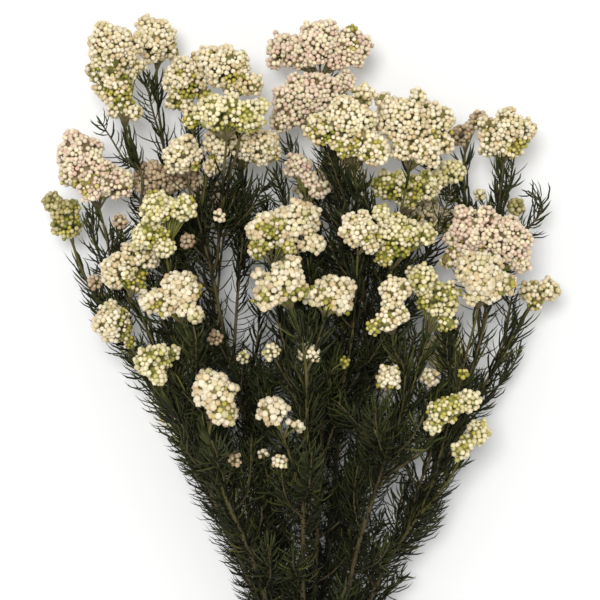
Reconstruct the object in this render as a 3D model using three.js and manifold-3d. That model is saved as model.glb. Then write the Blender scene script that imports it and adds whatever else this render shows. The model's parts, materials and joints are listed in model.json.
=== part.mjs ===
// A bunch of preserved rice flower: twelve cut, leafy stems held by an elastic band, laid on its side.
// Millimetres, +Z up. The stems run along +Y: the flower heads are at the +Y end, the cut ends at the other.
import * as THREE from 'three';
import { ConvexHull } from 'three/addons/math/ConvexHull.js';
import { mergeVertices } from 'three/addons/utils/BufferGeometryUtils.js';
import Module from 'manifold-3d';

const wasm = await Module();
wasm.setup();

// The front view, looked at from above, that the layout below is written in
const VIEW_STEP = 0.6; // real length of one view step, at VIEW_HEIGHT
const VIEW_HEIGHT = 75;
const EYE_DISTANCE = 1200; // from the eye down to VIEW_HEIGHT
const VIEW_CENTRE = [300, 300];
const VIEW_WAIST = [306, 770]; // where the band lies in the view

// Stems
const STEM_PITCH = 5.2; // between neighbouring stems inside the band
const STEM_RADIUS = 2.5;
const STEM_TIP_RADIUS = 1.25;
const BRANCH_RADIUS = 1.6;
const TWIG_RADIUS = 1.3;
const TIP_RADIUS = 1.1;
const STEM_SIDES = 5;
const BRANCH_SIDES = 3;
const WAIST_HEIGHT = 30;
const WAIST_HALF = 9; // the stems run straight along +Y this far to each side of the band's middle
const CUT_LENGTH = 112; // from the band to the cut ends
const CUT_FLARE = 1.75; // how far the cut ends stand apart, beside the pitch in the band
const MID_FLARE = 1.3; // the same halfway from the band to the cut ends
const CUT_HEIGHT = 18;
const BARE_LENGTH = 62; // above the band, where the leaves have been stripped
const PATH_STEP = 4; // between the points of a stem's middle line
const TUBE_GAP = 2.2; // that stems keep from each other and from heads
const SPREAD_PASSES = 60;
const SPREAD_STEP = 1.6;
const SPREAD_SMOOTHING = 4; // rounds of smoothing of each push
const FORK_POINTS = 5; // of a branch that may touch what it forks from
const FORK_REACH = 7; // points along the parent, to each side of the fork, that it may touch
const MOST_SAG = 1.3; // of a stem's straight piece from its true line
const CUT_STAGGER = 6; // how far the cut ends stand before and behind each other
const CUT_STAGGER_TURN = 2.4; // radians from one stem to the next
const TIP_BARE = 3;
const FORK_BARE = 9; // without leaves just above a fork

// Needle leaves
const LEAF_LENGTH = 15;
const LEAF_STEP = 41; // from whorl to whorl
const LEAF_FOOT = 2.4; // height of a needle's foot on the stem
const LEAF_LEAN = 44; // degrees from the stem
const LEAF_TWIST = 40; // degrees that each whorl is turned from the one below
const LEAF_CLEAR = 0.9; // from a needle's middle line to its surface, with some room
const LEAF_HEAD_GAP = 0.5; // more room beside a flower head
const LEAF_LENGTH_SPREAD = 0.3;
const LEAF_LEAN_SPREAD = 0.2;
// Changes of lean and turn, in radians, that a needle tries in order
const BENDS = [[0, 0], [-0.2, 0.3], [-0.2, -0.3], [0.2, 0.4], [0.2, -0.4], [-0.35, 0]];
const LEAF_SEED = 1000;

// Flower heads
const BUD_PITCH = 11;
const BUD_RELIEF = 2.5;
const BUD_FLOOR = 0.3; // least height of a bud's tip
const VALLEY_SHARE = 0.4; // of the way in from the buds beside it, that a valley may reach
const VALLEY_FLOOR = 0.4; // least height of a valley
const CLEAR_CROSSING = 0.25; // how well a line must pass between two buds, as a share of the wider side
const BUD_APART = 0.72; // least distance between buds of two lobes, as a share of BUD_PITCH
const HEAD_GAP = 0.8;
const SETTLE_PASSES = 400;
const SETTLE_STEP = 0.3; // share of what two heads lack that each moves in a pass
const SEAT_GAP = 0.3; // between a stem's tip and the foot of its head
const FOOT_RADIUS = 2.2;
const FOOT_SIDES = 4;
const FOOT_DEPTH = 0.4; // from the lowest lobe down to the foot
const UNDERSIDE = -0.85; // no buds on a lobe further round than this towards the stem
const THROAT_RADIUS = 3; // of the space that a head takes up at its foot
const THROAT_PARTS = [0.2, 0.45, 0.7]; // of the way from the foot to each lobe, where such space is kept
const FLAT_RADIUS = 4; // of the flat spot that a head rests on
const FLAT_ROOM = 2.5; // height under which a resting head has no buds
const GOLDEN_ANGLE = Math.PI * (3 - Math.sqrt(5));

// Elastic band, wound twice
const BAND_INNER = 11.15;
const BAND_THICK = 1.6;
const BAND_TURN = 3.4; // width of one turn
const BAND_SEGMENTS = 18;
const BAND_EDGE = 0.55; // its thickness where the turns meet and at the rims, as a share of its full one
const CREST_WIDTH = 0.46; // from a turn's middle to where it meets the other, as a share of a turn
const RIM_WIDTH = 0.96; // from the band's middle to its rims, outside, as a share of a turn
const RIM_INSIDE = 0.9; // the same on the inside

// Colours
const TINTS = {
  cream: 0xddd2ae,
  pink: 0xd9bda9,
  yellow: 0xc2ba72,
  olive: 0x968f4e,
  brown: 0xa08863,
};
const LEAF_GREEN = 0x2f3a22;
const BAND_COLOUR = 0xb79a66;

// Flower heads: height of the middle, tint, and round lobes as [across, down, radius, extra height] in view.
const HEADS = {
  A1: { height: 70, tint: 'cream',
    lobes: [[113, 48, 28, 0], [118, 89, 19, 2], [134, 112, 10, 0], [93, 69, 11, 2], [102, 88, 10, 0],
      [116, 110, 10, 0], [138, 66, 9, -4]] },
  A2: { height: 46, tint: 'cream', lobes: [[155, 42, 25, 0], [146, 25, 12, 0], [169, 50, 12, -3]] },
  B1: { height: 66, tint: 'cream',
    lobes: [[188, 81, 25, 0], [196, 60, 11, 2], [172, 102, 11, 0], [186, 106, 9, 0]] },
  B2: { height: 84, tint: 'cream',
    lobes: [[224, 67, 25, 0], [250, 84, 15, 2], [206, 57, 13, 0], [233, 90, 12, 0], [240, 58, 10, 0]] },
  B3: { height: 110, tint: 'yellow',
    lobes: [[213, 112, 21, 0], [247, 119, 19, -4], [190, 121, 9, 0], [232, 105, 13, -2],
      [262, 106, 10, -4]] },
  C: { height: 76, tint: 'pink',
    lobes: [[80, 155, 26, 0], [92, 185, 19, 6], [118, 183, 19, 2], [68, 176, 13, 0]] },
  D: { height: 48, tint: 'olive', lobes: [[67, 226, 17, 0], [53, 202, 13, 3], [72, 208, 10, 2]] },
  E: { height: 62, tint: 'brown', lobes: [[152, 179, 21, 0], [172, 184, 13, -2], [190, 178, 15, -4]] },
  F: { height: 86, tint: 'cream', lobes: [[183, 155, 22, 0]] },
  G: { height: 74, tint: 'cream',
    lobes: [[222, 143, 20, 0], [262, 147, 21, -4], [212, 167, 10, 0], [242, 148, 14, -2]] },
  H: { height: 98, tint: 'yellow',
    lobes: [[158, 208, 20, 0], [184, 208, 16, -2], [146, 236, 17, 2], [165, 248, 11, 0]] },
  J: { height: 96, tint: 'cream',
    lobes: [[120, 272, 22, 0], [146, 258, 16, 0], [130, 251, 10, 0], [138, 286, 10, 1]] },
  K: { height: 124, tint: 'cream',
    lobes: [[180, 290, 22, 0], [150, 302, 14, -2], [195, 315, 10, 6], [166, 308, 13, 0]] },
  L: { height: 84, tint: 'cream', lobes: [[113, 322, 22, 0], [130, 343, 8, 0]] },
  M: { height: 112, tint: 'yellow',
    lobes: [[148, 362, 17, 0], [161, 353, 12, 2], [158, 376, 11, 0], [173, 353, 9, -2]] },
  N: { height: 134, tint: 'cream', lobes: [[213, 391, 24, 0], [223, 411, 19, 1]] },
  O: { height: 138, tint: 'cream', lobes: [[273, 411, 18, 0], [298, 427, 7, 0]] },
  P: { height: 116, tint: 'cream',
    lobes: [[268, 232, 23, 0], [300, 218, 22, -3], [317, 244, 11, 4], [290, 247, 9, 0],
      [257, 250, 11, 0]] },
  Q1: { height: 143, tint: 'cream',
    lobes: [[285, 279, 21, 0], [267, 297, 17, 0], [298, 290, 15, 0], [293, 263, 12, 0],
      [258, 276, 8, -3]] },
  Q2: { height: 136, tint: 'cream',
    lobes: [[331, 288, 16, 0], [345, 286, 13, 0], [342, 306, 13, 0], [313, 297, 13, 0]] },
  R: { height: 56, tint: 'pink',
    lobes: [[318, 43, 26, 0], [281, 48, 17, -3], [275, 62, 9, -3], [357, 46, 17, 2], [351, 31, 8, 2],
      [358, 62, 8, 2], [300, 61, 10, 0], [337, 62, 10, 0]] },
  S: { height: 74, tint: 'pink',
    lobes: [[316, 94, 25, 0], [345, 82, 14, -4], [287, 98, 17, 0], [280, 123, 13, -2],
      [298, 120, 11, -2], [294, 81, 9, 0]] },
  T1: { height: 102, tint: 'cream',
    lobes: [[350, 118, 27, 0], [321, 130, 20, -3], [374, 150, 20, 3], [363, 95, 14, 0],
      [345, 149, 11, 0]] },
  T2: { height: 98, tint: 'cream',
    lobes: [[402, 120, 28, 0], [438, 122, 20, -4], [425, 150, 19, 4], [384, 101, 12, 0],
      [401, 150, 13, 2], [418, 97, 10, 0], [446, 145, 10, 0]] },
  U: { height: 72, tint: 'yellow',
    lobes: [[390, 186, 19, 0], [425, 186, 18, 2], [452, 172, 16, -2], [408, 200, 12, 0]] },
  V: { height: 64, tint: 'cream',
    lobes: [[508, 128, 21, 0], [486, 126, 12, 0], [527, 130, 13, 0], [487, 149, 11, 2],
      [515, 150, 12, 0]] },
  VB: { height: 34, tint: 'brown', lobes: [[460, 136, 13, 0], [479, 119, 10, 2]] },
  VO: { height: 40, tint: 'olive', lobes: [[516, 207, 10, 0]] },
  W: { height: 122, tint: 'cream', lobes: [[358, 230, 21, 0], [371, 247, 9, 0]] },
  X: { height: 108, tint: 'yellow',
    lobes: [[396, 235, 23, 0], [426, 235, 13, 0], [384, 258, 12, 0], [381, 213, 10, 0]] },
  Y1: { height: 88, tint: 'pink',
    lobes: [[468, 235, 24, 0], [507, 241, 27, -4], [449, 260, 12, 0], [521, 263, 13, -4],
      [486, 214, 12, 0], [461, 212, 9, 0]] },
  Y2: { height: 114, tint: 'cream',
    lobes: [[481, 273, 26, 0], [506, 283, 15, 0], [472, 297, 10, 0], [490, 294, 11, 0]] },
  Z1: { height: 128, tint: 'cream',
    lobes: [[395, 292, 18, 0], [388, 320, 15, 3], [374, 327, 10, 3], [403, 315, 8, 2]] },
  Z2: { height: 104, tint: 'yellow',
    lobes: [[421, 280, 19, 0], [446, 297, 17, -3], [447, 323, 12, 2], [424, 302, 9, 0]] },
  MID: { height: 74, tint: 'pink', lobes: [[298, 166, 16, 0], [319, 190, 12, 3]] },
  AA1: { height: 118, tint: 'cream', lobes: [[388, 377, 15, 0]] },
  AA2: { height: 94, tint: 'cream', lobes: [[430, 377, 12, 0]] },
  AB: { height: 54, tint: 'cream', lobes: [[547, 290, 15, 0], [530, 292, 14, 0], [536, 303, 9, 0]] },
  AC: { height: 112, tint: 'yellow',
    lobes: [[441, 412, 17, 0], [469, 401, 14, -2], [453, 404, 11, 0], [433, 425, 10, 0]] },
  AD: { height: 88, tint: 'yellow', lobes: [[478, 431, 15, 0], [460, 450, 12, 4]] },
  // On the underside, out of the front view. The ones marked rests lie on the surface.
  U1: { height: 13, tint: 'cream', rests: true, lobes: [[180, 408, 23, 0]] },
  U2: { height: 14, tint: 'cream', rests: true, lobes: [[302, 284, 25, 0]] },
  U3: { height: 13, tint: 'cream', rests: true, lobes: [[384, 372, 24, 0]] },
  U4: { height: 12, tint: 'yellow', rests: true, lobes: [[443, 352, 22, 0]] },
  U5: { height: 22, tint: 'pink', lobes: [[205, 205, 25, 0], [178, 222, 16, -2]] },
  U6: { height: 18, tint: 'cream', lobes: [[338, 176, 26, 0], [310, 190, 16, 2]] },
  U7: { height: 24, tint: 'cream', lobes: [[420, 212, 24, 0], [446, 222, 16, -4]] },
};

// Main stems: place in the band (ring and angle in degrees), the head each ends in, and the way there in the
// view as [across, down, height].
const INNER = STEM_PITCH / Math.sqrt(3);
const OUTER = INNER + STEM_PITCH;
const STEMS = [
  { ring: OUTER, angle: 90, to: 'Q1',
    way: [[303, 600, 75], [303, 535, 95], [304, 470, 112], [307, 400, 126], [303, 345, 137]] },
  { ring: OUTER, angle: 130, to: 'N',
    way: [[266, 600, 68], [247, 545, 86], [229, 505, 100], [214, 465, 114], [208, 440, 124]] },
  { ring: OUTER, angle: 170, to: 'L',
    way: [[258, 600, 52], [236, 550, 60], [200, 467, 72], [167, 400, 79], [136, 355, 83]] },
  { ring: OUTER, angle: 210, to: 'D',
    way: [[257, 600, 34], [226, 530, 38], [187, 450, 42], [139, 368, 44], [102, 310, 46],
      [80, 265, 47]] },
  { ring: OUTER, angle: 250, to: 'E',
    way: [[276, 600, 22], [252, 520, 22], [224, 430, 26], [196, 340, 34], [170, 262, 44],
      [157, 220, 50]] },
  { ring: OUTER, angle: 290, to: 'R',
    way: [[322, 600, 22], [332, 510, 24], [338, 420, 27], [342, 330, 34], [340, 240, 44],
      [332, 160, 46], [322, 96, 50]] },
  { ring: OUTER, angle: 330, to: 'AB',
    way: [[362, 600, 34], [393, 550, 39], [430, 490, 43], [461, 425, 46], [489, 378, 48],
      [515, 333, 51]] },
  { ring: OUTER, angle: 10, to: 'AD',
    way: [[370, 600, 54], [395, 550, 62], [425, 508, 70], [450, 478, 78]] },
  { ring: OUTER, angle: 50, to: 'Z2',
    way: [[346, 600, 70], [361, 535, 84], [376, 490, 92], [396, 436, 97], [414, 385, 99],
      [426, 340, 101]] },
  { ring: INNER, angle: 90, to: 'MID',
    way: [[314, 600, 56], [318, 520, 66], [322, 440, 74], [318, 350, 80], [312, 270, 78],
      [310, 225, 75]] },
  { ring: INNER, angle: 210, to: 'B1',
    way: [[284, 600, 45], [268, 520, 52], [250, 440, 58], [228, 350, 64], [210, 260, 66],
      [198, 170, 62], [191, 120, 63]] },
  { ring: INNER, angle: 330, to: 'T1',
    way: [[340, 600, 46], [352, 520, 53], [362, 440, 58], [366, 350, 64], [362, 260, 76],
      [356, 190, 90]] },
];

// Branches: the head each ends in, the stem or branch that it grows from (named by its own head), how far
// down the view it forks off, and the way from there.
const BRANCHES = [
  { to: 'O', from: 'Q1', fork: 500, way: [[294, 468, 120], [285, 442, 131]] },
  { to: 'Q2', from: 'Q1', fork: 372, way: [[320, 335, 131]] },
  { to: 'P', from: 'Q1', fork: 448, way: [[292, 380, 108], [277, 310, 104], [272, 268, 109]] },
  { to: 'K', from: 'N', fork: 512, way: [[213, 440, 98], [199, 385, 104], [187, 335, 115]] },
  { to: 'M', from: 'N', fork: 548, way: [[214, 480, 92], [182, 425, 101], [164, 396, 107]] },
  { to: 'J', from: 'L', fork: 470, way: [[174, 395, 86], [150, 335, 91], [131, 302, 94]] },
  { to: 'H', from: 'L', fork: 440, way: [[180, 375, 84], [175, 310, 88], [168, 265, 94]] },
  { to: 'C', from: 'D', fork: 345, way: [[116, 290, 56], [107, 240, 66]] },
  { to: 'U1', from: 'D', fork: 530, way: [[205, 480, 26], [190, 440, 17]] },
  { to: 'A2', from: 'E', fork: 350, way: [[182, 260, 30], [168, 170, 30], [158, 105, 38]] },
  { to: 'A1', from: 'E', fork: 290, way: [[148, 232, 66], [134, 170, 74], [126, 128, 74]] },
  { to: 'U2', from: 'E', fork: 480, way: [[258, 425, 18], [278, 372, 14]] },
  { to: 'U5', from: 'E', fork: 400, way: [[215, 320, 22], [208, 250, 20]] },
  { to: 'U3', from: 'R', fork: 530, way: [[356, 460, 18], [374, 412, 15]] },
  { to: 'U6', from: 'R', fork: 370, way: [[344, 290, 22], [340, 220, 18]] },
  { to: 'U7', from: 'R', fork: 440, way: [[372, 350, 22], [402, 270, 20]] },
  { to: 'V', from: 'AB', fork: 440, way: [[478, 350, 50], [491, 270, 48], [499, 200, 54]] },
  { to: 'VB', from: 'V', fork: 340, way: [[474, 260, 36], [464, 185, 32]] },
  { to: 'VO', from: 'V', fork: 300, way: [[509, 252, 41]] },
  { to: 'U4', from: 'AB', fork: 510, way: [[442, 440, 24], [442, 396, 16]] },
  { to: 'Y2', from: 'AD', fork: 525, way: [[444, 440, 84], [462, 370, 94], [475, 322, 104]] },
  { to: 'Y1', from: 'AD', fork: 560, way: [[440, 470, 62], [468, 380, 68], [488, 310, 74]] },
  { to: 'AA2', from: 'AD', fork: 535, way: [[431, 460, 80], [431, 405, 90]] },
  { to: 'AC', from: 'Z2', fork: 480, way: [[412, 458, 99], [432, 436, 105]] },
  { to: 'AA1', from: 'Z2', fork: 500, way: [[389, 440, 106], [388, 402, 113]] },
  { to: 'Z1', from: 'Z2', fork: 440, way: [[404, 395, 106], [394, 358, 118]] },
  { to: 'W', from: 'MID', fork: 470, way: [[340, 400, 88], [353, 330, 98], [357, 268, 112]] },
  { to: 'X', from: 'W', fork: 410, way: [[370, 350, 90], [388, 290, 94]] },
  { to: 'U', from: 'X', fork: 340, way: [[392, 290, 76], [402, 228, 70]] },
  { to: 'B2', from: 'B1', fork: 270, way: [[226, 200, 84], [232, 140, 86], [232, 108, 85]] },
  { to: 'B3', from: 'B2', fork: 230, way: [[224, 170, 100], [226, 148, 105]] },
  { to: 'F', from: 'B1', fork: 280, way: [[198, 220, 78], [189, 188, 83]] },
  { to: 'G', from: 'B1', fork: 370, way: [[238, 290, 62], [244, 215, 60], [243, 182, 62]] },
  { to: 'T2', from: 'T1', fork: 370, way: [[386, 280, 76], [400, 215, 88], [408, 178, 93]] },
  { to: 'S', from: 'T1', fork: 290, way: [[348, 210, 68], [330, 150, 67], [322, 130, 69]] },
];

// Short twigs: a young, still green cluster of the given radius at the tip, or a leafy tip with none.
const TWIGS = [
  { from: 'Q1', fork: 420, way: [[297, 428, 132]], young: 6 },
  { from: 'Q1', fork: 520, way: [[287, 500, 110], [280, 462, 122]], young: 8 },
  { from: 'P', fork: 390, way: [[280, 368, 117], [272, 352, 122]], young: 9 },
  { from: 'Q1', fork: 392, way: [[311, 355, 130]], young: 11 },
  { from: 'N', fork: 490, way: [[235, 460, 120]], young: 7 },
  { from: 'B1', fork: 560, way: [[271, 500, 84], [263, 454, 104]], young: 6 },
  { from: 'B1', fork: 400, way: [[243, 357, 88]], young: 7 },
  { from: 'B2', fork: 245, way: [[219, 216, 104]], young: 7 },
  { from: 'C', fork: 270, way: [[120, 222, 82]], young: 8 },
  { from: 'D', fork: 320, way: [[95, 282, 66]], young: 8 },
  { from: 'W', fork: 430, way: [[328, 392, 108], [332, 370, 112], [344, 362, 112]], young: 6 },
  { from: 'Y2', fork: 420, way: [[463, 374, 108]], young: 6 },
  { from: 'V', fork: 240, way: [[480, 195, 58]], young: 7 },
  { from: 'Z2', fork: 468, way: [[366, 436, 108], [338, 402, 112]], young: 0 },
  { from: 'VO', fork: 245, way: [[534, 222, 50], [543, 205, 52], [528, 191, 54]], young: 0 },
  { from: 'A1', fork: 190, way: [[118, 150, 66], [102, 124, 62]], young: 0 },
  { from: 'AB', fork: 420, way: [[499, 385, 40], [522, 350, 38]], young: 0 },
  { from: 'AD', fork: 560, way: [[414, 540, 60], [438, 508, 56]], young: 0 },
  { from: 'F', fork: 262, way: [[188, 241, 84]], young: 8 },
  { from: 'B1', fork: 372, way: [[216, 338, 84]], young: 8 },
];

// Turns a place in the front view, at a height, into the real place.
function place([across, down, height]) {
  const nearness = 1 - (height - VIEW_HEIGHT) / EYE_DISTANCE;
  const middleX = (VIEW_CENTRE[0] - VIEW_WAIST[0]) * VIEW_STEP;
  const middleY = (VIEW_WAIST[1] - VIEW_CENTRE[1]) * VIEW_STEP;
  return new THREE.Vector3(
    middleX + (across - VIEW_CENTRE[0]) * VIEW_STEP * nearness,
    middleY + (VIEW_CENTRE[1] - down) * VIEW_STEP * nearness,
    height,
  );
}

// How far down the view a real place is seen.
function seenDown(point) {
  const nearness = 1 - (point.z - VIEW_HEIGHT) / EYE_DISTANCE;
  const middleY = (VIEW_WAIST[1] - VIEW_CENTRE[1]) * VIEW_STEP;
  return VIEW_CENTRE[1] - (point.y - middleY) / (VIEW_STEP * nearness);
}

function realLobes(head) {
  return head.lobes.map(([across, down, radius, lift]) => {
    const height = head.height + lift;
    const nearness = 1 - (height - VIEW_HEIGHT) / EYE_DISTANCE;
    return { centre: place([across, down, height]), radius: radius * VIEW_STEP * nearness };
  });
}

// Heads that would touch are moved apart along the line of sight, so that each stays where it is seen.
function settleHeights() {
  const names = Object.keys(HEADS);
  for (let pass = 0; pass < SETTLE_PASSES; pass++) {
    const moves = Object.fromEntries(names.map((name) => [name, 0]));
    const all = names.map((name) => realLobes(HEADS[name]));
    names.forEach((a, i) => names.slice(i + 1).forEach((b, j) => {
      let worst = 0;
      for (const one of all[i]) {
        for (const two of all[i + 1 + j]) {
          worst = Math.max(worst, one.radius + two.radius + HEAD_GAP - one.centre.distanceTo(two.centre));
        }
      }
      if (worst <= 0) return;
      const way = HEADS[a].height >= HEADS[b].height ? 1 : -1;
      if (!HEADS[a].rests) moves[a] += way * worst * SETTLE_STEP;
      if (!HEADS[b].rests) moves[b] -= way * worst * SETTLE_STEP;
    }));
    for (const name of names) {
      HEADS[name].height += moves[name];
      const lowest = Math.max(...realLobes(HEADS[name]).map((lobe) => lobe.radius - lobe.centre.z));
      if (!HEADS[name].rests) HEADS[name].height += Math.max(0, lowest);
    }
  }
}

function headMiddle(lobes) {
  const middle = new THREE.Vector3();
  let sum = 0;
  for (const { centre, radius } of lobes) {
    middle.addScaledVector(centre, radius ** 3);
    sum += radius ** 3;
  }
  return middle.divideScalar(sum);
}

// A head's lobes, its middle, the way it faces (on from its stem's last point) and the foot its stem meets.
function layHead(name, before) {
  const lobes = realLobes(HEADS[name]);
  const middle = headMiddle(lobes);
  const facing = middle.clone().sub(before).normalize();
  const depth = Math.max(...lobes.map((l) => middle.clone().sub(l.centre).dot(facing) + l.radius));
  const foot = middle.clone().addScaledVector(facing, -depth - FOOT_DEPTH);
  return { name, lobes, middle, facing, foot, rests: HEADS[name].rests, tint: HEADS[name].tint };
}

// Round spaces that a head takes up, for keeping other things clear of it.
function headBalls(head) {
  const balls = head.lobes.map((lobe) => ({ centre: lobe.centre, radius: lobe.radius }));
  for (const lobe of head.lobes) {
    for (const part of THROAT_PARTS) {
      balls.push({
        centre: head.foot.clone().lerp(lobe.centre, part),
        radius: THREE.MathUtils.lerp(THROAT_RADIUS, lobe.radius, part),
      });
    }
  }
  return balls;
}

// Middle lines of all stems, branches and twigs, as evenly spaced points
function smooth(points) {
  const curve = new THREE.CatmullRomCurve3(points);
  return curve.getSpacedPoints(Math.max(3, Math.round(curve.getLength() / PATH_STEP)));
}

function layStem(stem, index) {
  const angle = THREE.MathUtils.degToRad(stem.angle);
  const x = stem.ring * Math.cos(angle);
  const z = stem.ring * Math.sin(angle);
  const stagger = CUT_STAGGER * Math.cos(CUT_STAGGER_TURN * index);
  const cut = new THREE.Vector3(x * CUT_FLARE, stagger - CUT_LENGTH, CUT_HEIGHT + z * CUT_FLARE);
  cut.z = Math.max(cut.z, STEM_RADIUS * 0.95);
  const midHeight = (WAIST_HEIGHT + CUT_HEIGHT) / 2;
  const below = new THREE.Vector3(x * MID_FLARE, -CUT_LENGTH / 2, midHeight + z * MID_FLARE);
  const straight = [-WAIST_HALF, 0, WAIST_HALF].map((y) => new THREE.Vector3(x, y, WAIST_HEIGHT + z));
  const way = stem.way.map(place);
  const head = layHead(stem.to, way[way.length - 1]);
  const tip = head.foot.clone().addScaledVector(head.facing, -SEAT_GAP);
  return {
    name: stem.to, node: index, head, thick: STEM_RADIUS, thin: STEM_TIP_RADIUS, sides: STEM_SIDES,
    points: smooth([cut, below, ...straight, ...way, tip]), parent: null, at: 0,
  };
}

function forkIndex(parent, down) {
  let best = 0;
  parent.points.forEach((point, i) => {
    if (Math.abs(seenDown(point) - down) < Math.abs(seenDown(parent.points[best]) - down)) best = i;
  });
  return best;
}

function layBranch(branch, parent) {
  const at = forkIndex(parent, branch.fork);
  const way = branch.way.map(place);
  const head = branch.to ? layHead(branch.to, way[way.length - 1]) : null;
  const tip = head ? [head.foot.clone().addScaledVector(head.facing, -SEAT_GAP)] : [];
  return {
    name: branch.to, node: parent.node, head, thick: head ? BRANCH_RADIUS : TWIG_RADIUS, thin: TIP_RADIUS,
    sides: BRANCH_SIDES, points: smooth([parent.points[at], ...way, ...tip]), parent, at,
    young: branch.young * VIEW_STEP || 0,
  };
}

settleHeights();
const tubes = STEMS.map(layStem);
for (const branch of [...BRANCHES, ...TWIGS]) {
  tubes.push(layBranch(branch, tubes.find((tube) => tube.name === branch.from)));
}
spread(tubes);

// Pushes the stems off each other, off the heads and off the ground, in small smoothed steps. What is held in
// the band, a fork's own point and the two points below a head stay where they are or go with what carries them.
function spread(all) {
  const points = all.flatMap((tube, t) => tube.points.map((point, i) => ({ tube, t, i, point })));
  const balls = all.filter((tube) => tube.head).flatMap((tube) => (
    headBalls(tube.head).map((ball) => ({ ...ball, tube }))
  ));
  for (let pass = 0; pass < SPREAD_PASSES; pass++) {
    const pushes = all.map((tube) => tube.points.map(() => new THREE.Vector3()));
    points.forEach((a, n) => {
      for (let m = n + 1; m < points.length; m++) {
        const b = points[m];
        if (a.t === b.t) continue;
        const gap = a.point.distanceTo(b.point);
        const need = radiusAt(a.tube, a.i) + radiusAt(b.tube, b.i) + TUBE_GAP;
        if (gap >= need || nearFork(a, b)) continue;
        const push = a.point.clone().sub(b.point).multiplyScalar((0.5 * (need - gap)) / Math.max(gap, 0.1));
        pushes[a.t][a.i].add(push);
        pushes[b.t][b.i].sub(push);
      }
      for (const ball of balls) {
        if (ball.tube === a.tube) continue;
        const gap = a.point.distanceTo(ball.centre);
        const need = radiusAt(a.tube, a.i) + ball.radius + TUBE_GAP;
        const away = a.point.clone().sub(ball.centre);
        if (gap < need) pushes[a.t][a.i].addScaledVector(away, (need - gap) / gap);
      }
      if (a.point.y > 0) pushes[a.t][a.i].z += Math.max(0, radiusAt(a.tube, a.i) + SEAT_GAP - a.point.z);
    });
    all.forEach((tube, t) => {
      const last = tube.points.length - 1;
      for (let round = 0; round < SPREAD_SMOOTHING; round++) {
        pushes[t] = pushes[t].map((push, i) => {
          if (held(tube, i, last)) return new THREE.Vector3();
          const before = pushes[t][Math.max(0, i - 1)];
          const after = pushes[t][Math.min(last, i + 1)];
          return push.clone().multiplyScalar(0.5).addScaledVector(before, 0.25).addScaledVector(after, 0.25);
        });
        if (tube.parent) pushes[t][0].copy(pushes[all.indexOf(tube.parent)][tube.at]);
      }
      tube.points.forEach((point, i) => point.addScaledVector(pushes[t][i], SPREAD_STEP));
      if (tube.parent) tube.points[0].copy(tube.parent.points[tube.at]);
    });
  }
}

function held(tube, i, last) {
  const inBand = !tube.parent && tube.points[i].y < WAIST_HALF + 6;
  return inBand || (tube.head && i > last - 2);
}

function radiusAt(tube, i) {
  return THREE.MathUtils.lerp(tube.thick, tube.thin, i / (tube.points.length - 1));
}

// A branch and what it forks from may touch near the fork, and so may two branches of one fork.
function nearFork(a, b) {
  const onChild = (child, parent) => child.tube.parent === parent.tube
    && child.i < FORK_POINTS && Math.abs(parent.i - child.tube.at) < FORK_REACH;
  const siblings = a.tube.parent && a.tube.parent === b.tube.parent
    && Math.abs(a.tube.at - b.tube.at) <= FORK_POINTS && a.i < FORK_POINTS && b.i < FORK_POINTS;
  return onChild(a, b) || onChild(b, a) || siblings;
}

// Solids
function randomFrom(seed) {
  let state = seed;
  return () => {
    state = (state + 0x6d2b79f5) | 0;
    let t = Math.imul(state ^ (state >>> 15), 1 | state);
    t = (t + Math.imul(t ^ (t >>> 7), 61 | t)) ^ t;
    return ((t ^ (t >>> 14)) >>> 0) / 4294967296;
  };
}

function solidOf(points, triangles) {
  const positions = new Float32Array(points.flatMap((p) => [p.x, p.y, p.z]));
  return new wasm.Manifold(new wasm.Mesh({
    numProp: 3, vertProperties: positions, triVerts: new Uint32Array(triangles.flat()),
  }));
}

function segmentGap(a, b, c, d) {
  const ab = b.clone().sub(a);
  const cd = d.clone().sub(c);
  const ca = a.clone().sub(c);
  const abab = ab.dot(ab);
  const cdcd = cd.dot(cd);
  const abcd = ab.dot(cd);
  const abca = ab.dot(ca);
  const cdca = cd.dot(ca);
  const slant = abab * cdcd - abcd * abcd;
  let s = slant > 1e-9 ? THREE.MathUtils.clamp((abcd * cdca - abca * cdcd) / slant, 0, 1) : 0;
  const t = THREE.MathUtils.clamp((abcd * s + cdca) / cdcd, 0, 1);
  s = THREE.MathUtils.clamp((abcd * t - abca) / abab, 0, 1);
  return ca.addScaledVector(ab, s).addScaledVector(cd, -t).length();
}

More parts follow.
